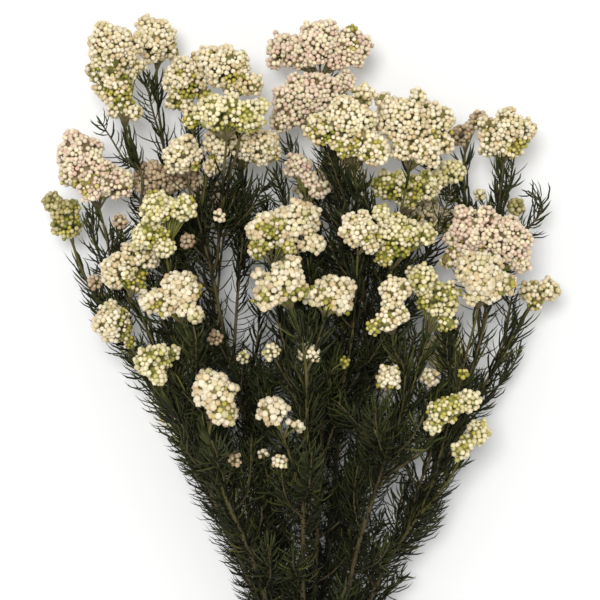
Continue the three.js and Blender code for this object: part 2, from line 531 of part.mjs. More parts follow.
// Rings of a tube along its middle line: a short band for the feet of each whorl of needles, and long ones
// between.
// There is a ring wherever a branch forks off or the line bends away from the straight.
function ringPlaces(tube, curve, length) {
  const bareTo = tube.parent ? FORK_BARE : CUT_LENGTH + BARE_LENGTH;
  const leafy = length - bareTo - LEAF_FOOT - TIP_BARE;
  const feet = [];
  if (leafy > 0) {
    const gaps = Math.max(1, Math.round(leafy / LEAF_STEP));
    for (let k = 0; k <= gaps; k++) feet.push(bareTo + (k * leafy) / gaps);
  }
  const indices = tubes.filter((child) => child.parent === tube).map((child) => child.at);
  if (!tube.parent) {
    for (const y of [-WAIST_HALF, WAIST_HALF, 3 * WAIST_HALF]) {
      indices.push(tube.points.findIndex((p) => p.y > y));
    }
  }
  const wanted = indices.map((i) => (i / (tube.points.length - 1)) * length);
  const plain = [0, length];
  for (const s of wanted) {
    if (feet.every((foot) => s < foot - 2 || s > foot + LEAF_FOOT + 2)
      && plain.every((other) => Math.abs(other - s) > 3)) plain.push(s);
  }
  const places = [...plain, ...feet.flatMap((s) => [s, s + LEAF_FOOT])].sort((a, b) => a - b);
  let i = 0;
  while (i + 1 < places.length) {
    const middle = (places[i] + places[i + 1]) / 2;
    const chord = curve.getPointAt(places[i] / length).lerp(curve.getPointAt(places[i + 1] / length), 0.5);
    if (chord.distanceTo(curve.getPointAt(middle / length)) > MOST_SAG) places.splice(i + 1, 0, middle);
    else i++;
  }
  return { places, whorls: feet.map((s) => places.indexOf(s)) };
}

function tubeSolid(tube, seed, isClear) {
  const random = randomFrom(seed);
  const curve = new THREE.CatmullRomCurve3(tube.points);
  curve.arcLengthDivisions = tube.points.length * 4;
  const length = curve.getLength();
  const { places, whorls } = ringPlaces(tube, curve, length);
  const sides = tube.sides;
  const points = [];
  const triangles = [];
  const ringAxes = [];
  let across = null;
  places.forEach((s, ring) => {
    const isTip = tube.head && ring === places.length - 1;
    const along = isTip ? tube.head.facing.clone() : curve.getTangentAt(s / length);
    if (!across) across = new THREE.Vector3(1, 0, 0);
    across = across.addScaledVector(along, -across.dot(along)).normalize();
    const up = along.clone().cross(across);
    const middle = curve.getPointAt(s / length);
    const radius = THREE.MathUtils.lerp(tube.thick, tube.thin, s / length);
    const twist = THREE.MathUtils.degToRad(LEAF_TWIST) * (whorls.filter((w) => w <= ring).length);
    ringAxes.push({ along, middle });
    for (let k = 0; k < sides; k++) {
      const angle = twist + (2 * Math.PI * k) / sides;
      const point = middle.clone()
        .addScaledVector(across, radius * Math.cos(angle))
        .addScaledVector(up, radius * Math.sin(angle));
      point.z = Math.max(point.z, 0);
      points.push(point);
    }
  });
  const feet = new Set(whorls);
  for (let ring = 0; ring < places.length - 1; ring++) {
    for (let k = 0; k < sides; k++) {
      const a = ring * sides + k;
      const b = ring * sides + ((k + 1) % sides);
      const [c, d] = [a + sides, b + sides];
      triangles.push([a, d, c]);
      const foot = [a, b, d];
      const corners = foot.map((i) => points[i]);
      const apex = feet.has(ring) ? needleTip(corners, ringAxes[ring], random, tube, isClear) : null;
      if (apex) {
        const top = points.push(apex) - 1;
        triangles.push([a, b, top], [b, d, top], [d, a, top]);
      } else {
        triangles.push(foot);
      }
    }
  }
  const last = (places.length - 1) * sides;
  for (let k = 1; k < sides - 1; k++) {
    triangles.push([0, k + 1, k], [last, last + k, last + k + 1]);
  }
  return solidOf(points, triangles);
}

// The tip of a needle on a three-cornered foot. It is bent clear of what is near, or left out.
function needleTip(foot, axis, random, tube, isClear) {
  const root = foot[0].clone().add(foot[1]).add(foot[2]).divideScalar(3);
  const out = root.clone().sub(axis.middle);
  out.addScaledVector(axis.along, -out.dot(axis.along)).normalize();
  const side = axis.along.clone().cross(out);
  const length = LEAF_LENGTH * (1 + LEAF_LENGTH_SPREAD * (random() - 0.5));
  const lean = THREE.MathUtils.degToRad(LEAF_LEAN) + LEAF_LEAN_SPREAD * (random() - 0.5);
  for (const [moreLean, turn] of BENDS) {
    const angle = lean + moreLean;
    const way = axis.along.clone().multiplyScalar(Math.cos(angle))
      .addScaledVector(out, Math.sin(angle) * Math.cos(turn))
      .addScaledVector(side, Math.sin(angle) * Math.sin(turn));
    const tip = root.clone().addScaledVector(way, length);
    if (isClear(root.clone().addScaledVector(way, 2), tip, tube)) return tip;
  }
  return null;
}

// Remembers every stem and needle laid so far, and says whether a new needle keeps clear of them and of
// heads.
function makeClearance(all) {
  const pieces = [];
  for (const tube of all) {
    for (let i = 0; i + 1 < tube.points.length; i++) {
      pieces.push({ a: tube.points[i], b: tube.points[i + 1], room: radiusAt(tube, i) + LEAF_CLEAR, tube });
    }
  }
  const balls = all.filter((tube) => tube.head).flatMap((tube) => (
    headBalls(tube.head).map((ball) => ({ ...ball, tube }))
  ));
  const middle = new THREE.Vector3();
  return (root, tip, tube) => {
    if (tip.z < LEAF_CLEAR) return false;
    middle.copy(root).add(tip).multiplyScalar(0.5);
    for (const { centre, radius } of balls) {
      const room = radius + LEAF_CLEAR + LEAF_HEAD_GAP;
      if (middle.distanceTo(centre) > room + LEAF_LENGTH) continue;
      if (segmentGap(root, tip, centre, centre.clone().addScalar(0.01)) < room) return false;
    }
    for (const piece of pieces) {
      if (piece.tube === tube || piece.a.distanceTo(middle) > LEAF_LENGTH * 2) continue;
      if (segmentGap(root, tip, piece.a, piece.b) < piece.room) return false;
    }
    pieces.push({ a: root, b: tip, room: 2 * LEAF_CLEAR, tube });
    return true;
  };
}

// A young cluster, and the fused solid of a whole leafy stem
function youngSolid(tube) {
  const ball = new THREE.IcosahedronGeometry(tube.young, 0);
  ball.deleteAttribute('normal');
  ball.deleteAttribute('uv');
  const merged = mergeVertices(ball);
  const tip = tube.points[tube.points.length - 1];
  const corners = [];
  const position = merged.attributes.position;
  for (let i = 0; i < position.count; i++) {
    corners.push(new THREE.Vector3().fromBufferAttribute(position, i).add(tip));
  }
  const index = merged.index.array;
  const faces = [];
  for (let i = 0; i < index.length; i += 3) faces.push([index[i], index[i + 1], index[i + 2]]);
  return solidOf(corners, faces);
}

function stemSolid(node, isClear) {
  let solid = null;
  tubes.forEach((tube, t) => {
    if (tube.node !== node) return;
    let piece = tubeSolid(tube, LEAF_SEED + t, isClear);
    if (tube.young) piece = piece.add(youngSolid(tube));
    solid = solid ? solid.add(piece) : piece;
  });
  return solid;
}

function ringAround(centre, normal, radius, count) {
  const across = new THREE.Vector3(1, 0.3, 0).cross(normal).normalize();
  const up = normal.clone().cross(across);
  return Array.from({ length: count }, (_, k) => {
    const angle = (2 * Math.PI * k) / count;
    return centre.clone()
      .addScaledVector(across, radius * Math.cos(angle))
      .addScaledVector(up, radius * Math.sin(angle));
  });
}

// A head: bud tips spread over the outside of its round lobes, drawn in to a small flat foot that the stem's
// tip meets, with a flat spot under a head that rests on the surface
function headSolid(head) {
  const spots = [];
  const addPlain = (points) => {
    for (const point of points) spots.push({ point, bud: false });
  };
  addPlain(ringAround(head.foot, head.facing, FOOT_RADIUS, FOOT_SIDES));
  if (head.rests) {
    const under = new THREE.Vector3(head.middle.x, head.middle.y, 0);
    addPlain(ringAround(under, new THREE.Vector3(0, 0, 1), FLAT_RADIUS, 6));
  }
  const turn = new THREE.Quaternion().setFromUnitVectors(new THREE.Vector3(0, 0, 1), head.facing);
  for (const lobe of head.lobes) {
    const cell = (BUD_PITCH ** 2 * Math.sqrt(3)) / 2;
    const count = Math.round((4 * Math.PI * lobe.radius ** 2) / cell);
    for (let k = 0; k < count; k++) {
      const rise = 1 - (2 * k + 1) / count;
      const flat = Math.sqrt(1 - rise * rise);
      const angle = k * GOLDEN_ANGLE;
      const way = new THREE.Vector3(flat * Math.cos(angle), flat * Math.sin(angle), rise);
      const point = lobe.centre.clone().addScaledVector(way.applyQuaternion(turn), lobe.radius);
      if (rise < UNDERSIDE || point.z < (head.rests ? FLAT_ROOM : BUD_FLOOR)) continue;
      const inside = (other) => other !== lobe && other.centre.distanceTo(point) < other.radius;
      if (head.lobes.some(inside)) continue;
      const isApart = spots.every((spot) => spot.point.distanceTo(point) > BUD_APART * BUD_PITCH);
      if (isApart) spots.push({ point, bud: true });
    }
  }
  return relief(spots, head.middle);
}

function relief(spots, middle) {
  const ways = spots.map((spot) => spot.point.clone().sub(middle).normalize());
  ways.forEach((way, i) => { way.index = i; });
  const hull = new ConvexHull().setFromPoints(ways);
  const points = spots.map((spot) => spot.point);
  const triangles = [];
  const valleys = new Map();
  for (const face of hull.faces) {
    const corners = [0, 1, 2].map((i) => face.getEdge(i).head().point.index);
    if (corners.filter((i) => spots[i].bud).length < 2) {
      triangles.push(corners);
      continue;
    }
    const low = corners.reduce((sum, i) => sum.add(points[i]), new THREE.Vector3());
    low.divideScalar(3).sub(middle);
    const depth = Math.min(BUD_RELIEF, VALLEY_SHARE * low.length());
    low.setLength(low.length() - depth).add(middle);
    low.z = Math.max(low.z, VALLEY_FLOOR);
    valleys.set(face, points.push(low) - 1);
  }
  for (const [face, valley] of valleys) {
    for (let i = 0; i < 3; i++) {
      const edge = face.getEdge(i);
      const [from, to] = [edge.tail().point.index, edge.head().point.index];
      const other = valleys.get(edge.twin.face);
      if (other === undefined || !crosses(ways[from], ways[to], points[valley], points[other], middle)) {
        triangles.push([from, to, valley]);
      } else {
        triangles.push([from, other, valley]);
      }
    }
  }
  return solidOf(points, triangles);
}

// Whether the line between two valleys passes well between the two buds beside it, seen from the middle.
function crosses(from, to, valley, other, middle) {
  const a = valley.clone().sub(middle);
  const b = other.clone().sub(middle);
  const wall = a.cross(b).normalize();
  const [left, right] = [from.dot(wall), to.dot(wall)];
  const sizes = [Math.abs(left), Math.abs(right)];
  return left * right < 0 && Math.min(...sizes) > CLEAR_CROSSING * Math.max(...sizes);
}

// The band: two turns of flat elastic side by side, turned round the stems' common axis
function bandGeometry() {
  const edge = BAND_INNER + BAND_EDGE * BAND_THICK;
  const profile = [];
  for (const turn of [-1, 1]) {
    const middle = (turn * BAND_TURN) / 2;
    profile.push([edge, middle - BAND_TURN * CREST_WIDTH], [BAND_INNER + BAND_THICK, middle]);
  }
  const inside = BAND_TURN * RIM_INSIDE;
  profile.push([edge, BAND_TURN * RIM_WIDTH], [BAND_INNER, inside], [BAND_INNER, -inside]);
  profile.push(profile[0]);
  return new THREE.LatheGeometry(profile.map(([r, y]) => new THREE.Vector2(r, y)), BAND_SEGMENTS);
}

function meshOf(name, solid, colour, roughness) {
  const mesh = solid.getMesh();
  const geometry = new THREE.BufferGeometry();
  const positions = new Float32Array(mesh.numVert * 3);
  for (let i = 0; i < mesh.numVert; i++) {
    positions.set(mesh.vertProperties.subarray(i * mesh.numProp, i * mesh.numProp + 3), i * 3);
  }
  geometry.setAttribute('position', new THREE.BufferAttribute(positions, 3));
  geometry.setIndex(new THREE.BufferAttribute(mesh.triVerts, 1));
  geometry.computeVertexNormals();
  const skin = new THREE.MeshStandardMaterial({ color: colour, roughness, metalness: 0 });
  const made = new THREE.Mesh(geometry, skin);
  made.name = name;
  return made;
}

const bunch = new THREE.Group();
const isClear = makeClearance(tubes);
STEMS.forEach((stem, node) => {
  const name = 'leafy_stem_' + String(node + 1).padStart(2, '0');
  bunch.add(meshOf(name, stemSolid(node, isClear), LEAF_GREEN, 0.75));
});
for (const { head } of tubes.filter((tube) => tube.head)) {
  bunch.add(meshOf('flower_head_' + head.name, headSolid(head), TINTS[head.tint], 0.85));
}
const rubber = new THREE.MeshStandardMaterial({ color: BAND_COLOUR, roughness: 0.6, metalness: 0 });
const band = new THREE.Mesh(bandGeometry(), rubber);
band.name = 'tie_band';
band.position.set(0, 0, WAIST_HEIGHT);
bunch.add(band);

// The origin is under the middle of the whole bunch, on the surface that it lies on.
const box = new THREE.Box3().setFromObject(bunch, true);
const shift = box.getCenter(new THREE.Vector3());
bunch.position.set(-shift.x, -shift.y, -box.min.z);

export default bunch;
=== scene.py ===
"""A bunch of preserved rice flower, dressed: papery buds on stalks, needle leaves, bark and elastic band.

The layout repeats that of the part: the same tables, in the same front view, and the same rules for
spreading the stems. Lengths here are millimetres until a piece is made, and then metres.
"""
import json
import math

import bpy
import numpy as np
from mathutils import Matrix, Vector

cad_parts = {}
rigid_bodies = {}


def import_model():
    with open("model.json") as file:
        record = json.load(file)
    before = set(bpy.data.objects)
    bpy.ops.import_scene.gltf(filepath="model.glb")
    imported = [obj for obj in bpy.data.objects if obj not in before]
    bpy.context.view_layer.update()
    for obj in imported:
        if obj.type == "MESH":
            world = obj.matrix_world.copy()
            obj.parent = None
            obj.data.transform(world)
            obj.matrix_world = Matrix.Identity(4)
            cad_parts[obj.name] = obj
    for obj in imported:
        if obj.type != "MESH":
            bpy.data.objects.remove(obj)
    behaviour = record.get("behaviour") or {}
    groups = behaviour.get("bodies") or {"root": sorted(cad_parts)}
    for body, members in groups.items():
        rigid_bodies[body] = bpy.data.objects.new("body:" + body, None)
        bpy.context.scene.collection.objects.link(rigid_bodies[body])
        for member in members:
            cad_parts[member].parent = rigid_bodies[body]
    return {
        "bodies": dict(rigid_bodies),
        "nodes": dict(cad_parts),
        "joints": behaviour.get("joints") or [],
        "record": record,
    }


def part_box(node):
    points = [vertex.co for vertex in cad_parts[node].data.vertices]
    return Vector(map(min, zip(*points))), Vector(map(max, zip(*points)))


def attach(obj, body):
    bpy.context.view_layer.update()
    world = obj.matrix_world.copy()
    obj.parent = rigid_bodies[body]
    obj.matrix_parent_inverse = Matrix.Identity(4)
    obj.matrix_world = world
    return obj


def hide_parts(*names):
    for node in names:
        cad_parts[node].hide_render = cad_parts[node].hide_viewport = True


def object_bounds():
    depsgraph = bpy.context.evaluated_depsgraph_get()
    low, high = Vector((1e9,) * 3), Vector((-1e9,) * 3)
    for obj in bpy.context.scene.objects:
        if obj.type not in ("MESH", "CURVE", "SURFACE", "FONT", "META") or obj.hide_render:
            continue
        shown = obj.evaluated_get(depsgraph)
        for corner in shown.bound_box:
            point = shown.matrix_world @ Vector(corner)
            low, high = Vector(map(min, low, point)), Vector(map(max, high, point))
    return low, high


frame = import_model()
CAD_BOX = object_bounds()
BAND_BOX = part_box("tie_band")

# The front view that the layout is written in, looked at from above
VIEW_STEP = 0.6  # real length of one view step, at VIEW_HEIGHT
VIEW_HEIGHT = 75
EYE_DISTANCE = 1200  # from the eye down to VIEW_HEIGHT
VIEW_CENTRE = (300, 300)
VIEW_WAIST = (306, 770)  # where the band lies in the view

# Stems
STEM_PITCH = 5.2  # between neighbouring stems inside the band
STEM_RADIUS = 2.5
STEM_TIP_RADIUS = 1.25
BRANCH_RADIUS = 1.6
TWIG_RADIUS = 1.3
TIP_RADIUS = 1.1
WAIST_HEIGHT = 30
WAIST_HALF = 9  # the stems run straight this far to each side of the band's middle
WAIST_MARGIN = 6  # and are not pushed aside this much further
CUT_LENGTH = 112  # from the band to the cut ends
CUT_FLARE = 1.75  # how far the cut ends stand apart, beside the pitch in the band
MID_FLARE = 1.3  # the same halfway from the band to the cut ends
CUT_HEIGHT = 18
CUT_STAGGER = 6  # how far the cut ends stand before and behind each other
CUT_STAGGER_TURN = 2.4  # radians from one stem to the next
BARE_LENGTH = 62  # above the band, where the leaves have been stripped
PATH_STEP = 4  # between the points of a middle line
TUBE_GAP = 2.2  # that stems keep from each other and from heads
GROUND_GAP = 0.3
SPREAD_PASSES = 60
SPREAD_STEP = 1.6
SPREAD_SMOOTHING = 4  # rounds of smoothing of each push
SPREAD_REACH = 40  # points that lie further apart at first are not compared
FORK_POINTS = 5  # of a branch that may touch what it forks from
FORK_REACH = 7  # points along the parent, to each side of the fork, that it may touch
TWIN_REACH = 6  # between the forks of two branches that may touch at their feet
INNER = STEM_PITCH / math.sqrt(3)
OUTER = INNER + STEM_PITCH
GOLDEN_ANGLE = math.pi * (3 - math.sqrt(5))

# Heads
HEAD_GAP = 0.8
SETTLE_PASSES = 400
SETTLE_STEP = 0.3  # share of what two heads lack that each moves in a pass
SEAT_GAP = 0.3  # between a stem's tip and the foot of its head
FOOT_DEPTH = 0.4  # from the lowest lobe down to the foot
THROAT_RADIUS = 3  # of the space that a head takes up at its foot
THROAT_PARTS = (0.2, 0.45, 0.7)  # of the way from the foot to each lobe, where such space is kept

# Each head: height of its middle, tint, and round lobes as (across, down, radius, extra height) in the view
HEADS = {
    "A1": (70, "cream", [(113, 48, 28, 0), (118, 89, 19, 2), (134, 112, 10, 0), (93, 69, 11, 2),
        (102, 88, 10, 0), (116, 110, 10, 0), (138, 66, 9, -4)]),
    "A2": (46, "cream", [(155, 42, 25, 0), (146, 25, 12, 0), (169, 50, 12, -3)]),
    "B1": (66, "cream", [(188, 81, 25, 0), (196, 60, 11, 2), (172, 102, 11, 0), (186, 106, 9, 0)]),
    "B2": (84, "cream", [(224, 67, 25, 0), (250, 84, 15, 2), (206, 57, 13, 0), (233, 90, 12, 0),
        (240, 58, 10, 0)]),
    "B3": (110, "yellow", [(213, 112, 21, 0), (247, 119, 19, -4), (190, 121, 9, 0), (232, 105, 13, -2),
        (262, 106, 10, -4)]),
    "C": (76, "pink", [(80, 155, 26, 0), (92, 185, 19, 6), (118, 183, 19, 2), (68, 176, 13, 0)]),
    "D": (48, "olive", [(67, 226, 17, 0), (53, 202, 13, 3), (72, 208, 10, 2)]),
    "E": (62, "brown", [(152, 179, 21, 0), (172, 184, 13, -2), (190, 178, 15, -4)]),
    "F": (86, "cream", [(183, 155, 22, 0)]),
    "G": (74, "cream", [(222, 143, 20, 0), (262, 147, 21, -4), (212, 167, 10, 0), (242, 148, 14, -2)]),
    "H": (98, "yellow", [(158, 208, 20, 0), (184, 208, 16, -2), (146, 236, 17, 2), (165, 248, 11, 0)]),
    "J": (96, "cream", [(120, 272, 22, 0), (146, 258, 16, 0), (130, 251, 10, 0), (138, 286, 10, 1)]),
    "K": (124, "cream", [(180, 290, 22, 0), (150, 302, 14, -2), (195, 315, 10, 6), (166, 308, 13, 0)]),
    "L": (84, "cream", [(113, 322, 22, 0), (130, 343, 8, 0)]),
    "M": (112, "yellow", [(148, 362, 17, 0), (161, 353, 12, 2), (158, 376, 11, 0), (173, 353, 9, -2)]),
    "N": (134, "cream", [(213, 391, 24, 0), (223, 411, 19, 1)]),
    "O": (138, "cream", [(273, 411, 18, 0), (298, 427, 7, 0)]),
    "P": (116, "cream", [(268, 232, 23, 0), (300, 218, 22, -3), (317, 244, 11, 4), (290, 247, 9, 0),
        (257, 250, 11, 0)]),
    "Q1": (143, "cream", [(285, 279, 21, 0), (267, 297, 17, 0), (298, 290, 15, 0), (293, 263, 12, 0),
        (258, 276, 8, -3)]),
    "Q2": (136, "cream", [(331, 288, 16, 0), (345, 286, 13, 0), (342, 306, 13, 0), (313, 297, 13, 0)]),
    "R": (56, "pink", [(318, 43, 26, 0), (281, 48, 17, -3), (275, 62, 9, -3), (357, 46, 17, 2),
        (351, 31, 8, 2), (358, 62, 8, 2), (300, 61, 10, 0), (337, 62, 10, 0)]),
    "S": (74, "pink", [(316, 94, 25, 0), (345, 82, 14, -4), (287, 98, 17, 0), (280, 123, 13, -2),
        (298, 120, 11, -2), (294, 81, 9, 0)]),
    "T1": (102, "cream", [(350, 118, 27, 0), (321, 130, 20, -3), (374, 150, 20, 3), (363, 95, 14, 0),
        (345, 149, 11, 0)]),
    "T2": (98, "cream", [(402, 120, 28, 0), (438, 122, 20, -4), (425, 150, 19, 4), (384, 101, 12, 0),
        (401, 150, 13, 2), (418, 97, 10, 0), (446, 145, 10, 0)]),
    "U": (72, "yellow", [(390, 186, 19, 0), (425, 186, 18, 2), (452, 172, 16, -2), (408, 200, 12, 0)]),
    "V": (64, "cream", [(508, 128, 21, 0), (486, 126, 12, 0), (527, 130, 13, 0), (487, 149, 11, 2),
        (515, 150, 12, 0)]),
    "VB": (34, "brown", [(460, 136, 13, 0), (479, 119, 10, 2)]),
    "VO": (40, "olive", [(516, 207, 10, 0)]),
    "W": (122, "cream", [(358, 230, 21, 0), (371, 247, 9, 0)]),
    "X": (108, "yellow", [(396, 235, 23, 0), (426, 235, 13, 0), (384, 258, 12, 0), (381, 213, 10, 0)]),
    "Y1": (88, "pink", [(468, 235, 24, 0), (507, 241, 27, -4), (449, 260, 12, 0), (521, 263, 13, -4),
        (486, 214, 12, 0), (461, 212, 9, 0)]),
    "Y2": (114, "cream", [(481, 273, 26, 0), (506, 283, 15, 0), (472, 297, 10, 0), (490, 294, 11, 0)]),
    "Z1": (128, "cream", [(395, 292, 18, 0), (388, 320, 15, 3), (374, 327, 10, 3), (403, 315, 8, 2)]),
    "Z2": (104, "yellow", [(421, 280, 19, 0), (446, 297, 17, -3), (447, 323, 12, 2), (424, 302, 9, 0)]),
    "MID": (74, "pink", [(298, 166, 16, 0), (319, 190, 12, 3)]),
    "AA1": (118, "cream", [(388, 377, 15, 0)]),
    "AA2": (94, "cream", [(430, 377, 12, 0)]),
    "AB": (54, "cream", [(547, 290, 15, 0), (530, 292, 14, 0), (536, 303, 9, 0)]),
    "AC": (112, "yellow", [(441, 412, 17, 0), (469, 401, 14, -2), (453, 404, 11, 0),
        (433, 425, 10, 0)]),
    "AD": (88, "yellow", [(478, 431, 15, 0), (460, 450, 12, 4)]),
    "U1": (13, "cream", [(180, 408, 23, 0)]),
    "U2": (14, "cream", [(302, 284, 25, 0)]),
    "U3": (13, "cream", [(384, 372, 24, 0)]),
    "U4": (12, "yellow", [(443, 352, 22, 0)]),
    "U5": (22, "pink", [(205, 205, 25, 0), (178, 222, 16, -2)]),
    "U6": (18, "cream", [(338, 176, 26, 0), (310, 190, 16, 2)]),
    "U7": (24, "cream", [(420, 212, 24, 0), (446, 222, 16, -4)]),
}

RESTING = ("U1", "U2", "U3", "U4")

# Each stem: ring and degrees of its place in the band, the head that it carries, and its way in the view
STEMS = [
    (OUTER, 90, "Q1", [(303, 600, 75), (303, 535, 95), (304, 470, 112), (307, 400, 126),
        (303, 345, 137)]),
    (OUTER, 130, "N", [(266, 600, 68), (247, 545, 86), (229, 505, 100), (214, 465, 114),
        (208, 440, 124)]),
    (OUTER, 170, "L", [(258, 600, 52), (236, 550, 60), (200, 467, 72), (167, 400, 79), (136, 355, 83)]),
    (OUTER, 210, "D", [(257, 600, 34), (226, 530, 38), (187, 450, 42), (139, 368, 44), (102, 310, 46),
        (80, 265, 47)]),
    (OUTER, 250, "E", [(276, 600, 22), (252, 520, 22), (224, 430, 26), (196, 340, 34), (170, 262, 44),
        (157, 220, 50)]),
    (OUTER, 290, "R", [(322, 600, 22), (332, 510, 24), (338, 420, 27), (342, 330, 34), (340, 240, 44),
        (332, 160, 46), (322, 96, 50)]),
    (OUTER, 330, "AB", [(362, 600, 34), (393, 550, 39), (430, 490, 43), (461, 425, 46), (489, 378, 48),
        (515, 333, 51)]),
    (OUTER, 10, "AD", [(370, 600, 54), (395, 550, 62), (425, 508, 70), (450, 478, 78)]),
    (OUTER, 50, "Z2", [(346, 600, 70), (361, 535, 84), (376, 490, 92), (396, 436, 97), (414, 385, 99),
        (426, 340, 101)]),
    (INNER, 90, "MID", [(314, 600, 56), (318, 520, 66), (322, 440, 74), (318, 350, 80), (312, 270, 78),
        (310, 225, 75)]),
    (INNER, 210, "B1", [(284, 600, 45), (268, 520, 52), (250, 440, 58), (228, 350, 64), (210, 260, 66),
        (198, 170, 62), (191, 120, 63)]),
    (INNER, 330, "T1", [(340, 600, 46), (352, 520, 53), (362, 440, 58), (366, 350, 64), (362, 260, 76),
        (356, 190, 90)]),
]

# Each branch: its head, the head of the stem or branch that it forks from, how far down the view it forks,
# and its way
BRANCHES = [
    ("O", "Q1", 500, [(294, 468, 120), (285, 442, 131)]),
    ("Q2", "Q1", 372, [(320, 335, 131)]),
    ("P", "Q1", 448, [(292, 380, 108), (277, 310, 104), (272, 268, 109)]),
    ("K", "N", 512, [(213, 440, 98), (199, 385, 104), (187, 335, 115)]),
    ("M", "N", 548, [(214, 480, 92), (182, 425, 101), (164, 396, 107)]),
    ("J", "L", 470, [(174, 395, 86), (150, 335, 91), (131, 302, 94)]),
    ("H", "L", 440, [(180, 375, 84), (175, 310, 88), (168, 265, 94)]),
    ("C", "D", 345, [(116, 290, 56), (107, 240, 66)]),
    ("U1", "D", 530, [(205, 480, 26), (190, 440, 17)]),
    ("A2", "E", 350, [(182, 260, 30), (168, 170, 30), (158, 105, 38)]),
    ("A1", "E", 290, [(148, 232, 66), (134, 170, 74), (126, 128, 74)]),
    ("U2", "E", 480, [(258, 425, 18), (278, 372, 14)]),
    ("U5", "E", 400, [(215, 320, 22), (208, 250, 20)]),
    ("U3", "R", 530, [(356, 460, 18), (374, 412, 15)]),
    ("U6", "R", 370, [(344, 290, 22), (340, 220, 18)]),
    ("U7", "R", 440, [(372, 350, 22), (402, 270, 20)]),
    ("V", "AB", 440, [(478, 350, 50), (491, 270, 48), (499, 200, 54)]),
    ("VB", "V", 340, [(474, 260, 36), (464, 185, 32)]),
    ("VO", "V", 300, [(509, 252, 41)]),
    ("U4", "AB", 510, [(442, 440, 24), (442, 396, 16)]),
    ("Y2", "AD", 525, [(444, 440, 84), (462, 370, 94), (475, 322, 104)]),
    ("Y1", "AD", 560, [(440, 470, 62), (468, 380, 68), (488, 310, 74)]),
    ("AA2", "AD", 535, [(431, 460, 80), (431, 405, 90)]),
    ("AC", "Z2", 480, [(412, 458, 99), (432, 436, 105)]),
    ("AA1", "Z2", 500, [(389, 440, 106), (388, 402, 113)]),
    ("Z1", "Z2", 440, [(404, 395, 106), (394, 358, 118)]),
    ("W", "MID", 470, [(340, 400, 88), (353, 330, 98), (357, 268, 112)]),
    ("X", "W", 410, [(370, 350, 90), (388, 290, 94)]),
    ("U", "X", 340, [(392, 290, 76), (402, 228, 70)]),
    ("B2", "B1", 270, [(226, 200, 84), (232, 140, 86), (232, 108, 85)]),
    ("B3", "B2", 230, [(224, 170, 100), (226, 148, 105)]),
    ("F", "B1", 280, [(198, 220, 78), (189, 188, 83)]),
    ("G", "B1", 370, [(238, 290, 62), (244, 215, 60), (243, 182, 62)]),
    ("T2", "T1", 370, [(386, 280, 76), (400, 215, 88), (408, 178, 93)]),
    ("S", "T1", 290, [(348, 210, 68), (330, 150, 67), (322, 130, 69)]),
]

# Each twig: what it forks from, where and its way, and the radius in the view of the young cluster at its tip
TWIGS = [
    ("Q1", 420, [(297, 428, 132)], 6),
    ("Q1", 520, [(287, 500, 110), (280, 462, 122)], 8),
    ("P", 390, [(280, 368, 117), (272, 352, 122)], 9),
    ("Q1", 392, [(311, 355, 130)], 11),
    ("N", 490, [(235, 460, 120)], 7),
    ("B1", 560, [(271, 500, 84), (263, 454, 104)], 6),
    ("B1", 400, [(243, 357, 88)], 7),
    ("B2", 245, [(219, 216, 104)], 7),
    ("C", 270, [(120, 222, 82)], 8),
    ("D", 320, [(95, 282, 66)], 8),
    ("W", 430, [(328, 392, 108), (332, 370, 112), (344, 362, 112)], 6),
    ("Y2", 420, [(463, 374, 108)], 6),
    ("V", 240, [(480, 195, 58)], 7),
    ("Z2", 468, [(366, 436, 108), (338, 402, 112)], 0),
    ("VO", 245, [(534, 222, 50), (543, 205, 52), (528, 191, 54)], 0),
    ("A1", 190, [(118, 150, 66), (102, 124, 62)], 0),
    ("AB", 420, [(499, 385, 40), (522, 350, 38)], 0),
    ("AD", 560, [(414, 540, 60), (438, 508, 56)], 0),
    ("F", 262, [(188, 241, 84)], 8),
    ("B1", 372, [(216, 338, 84)], 8),
]


def nearness(height):
    """How large a view step is at a height, beside one at VIEW_HEIGHT."""
    return 1 - (height - VIEW_HEIGHT) / EYE_DISTANCE


MIDDLE_X = (VIEW_CENTRE[0] - VIEW_WAIST[0]) * VIEW_STEP
MIDDLE_Y = (VIEW_WAIST[1] - VIEW_CENTRE[1]) * VIEW_STEP


def place(across, down, height):
    """The real places of points of the view, at their heights."""
    step = VIEW_STEP * nearness(height)
    x = MIDDLE_X + (across - VIEW_CENTRE[0]) * step
    y = MIDDLE_Y + (VIEW_CENTRE[1] - down) * step
    return np.stack([x, y, height], -1)


def seen(points):
    """Where real places are seen in the front view: across and down."""
    step = VIEW_STEP * nearness(points[..., 2])
    across = VIEW_CENTRE[0] + (points[..., 0] - MIDDLE_X) / step
    return np.stack([across, VIEW_CENTRE[1] - (points[..., 1] - MIDDLE_Y) / step], -1)


def seen_down(points):
    """How far down the view real places are seen."""
    return seen(points)[..., 1]


def real_lobes(name, height):
    """A head's lobes as rows of x, y, z, radius."""
    across, down, radius, lift = np.array(HEADS[name][2], float).T
    level = height + lift
    return np.column_stack([place(across, down, level), radius * VIEW_STEP * nearness(level)])


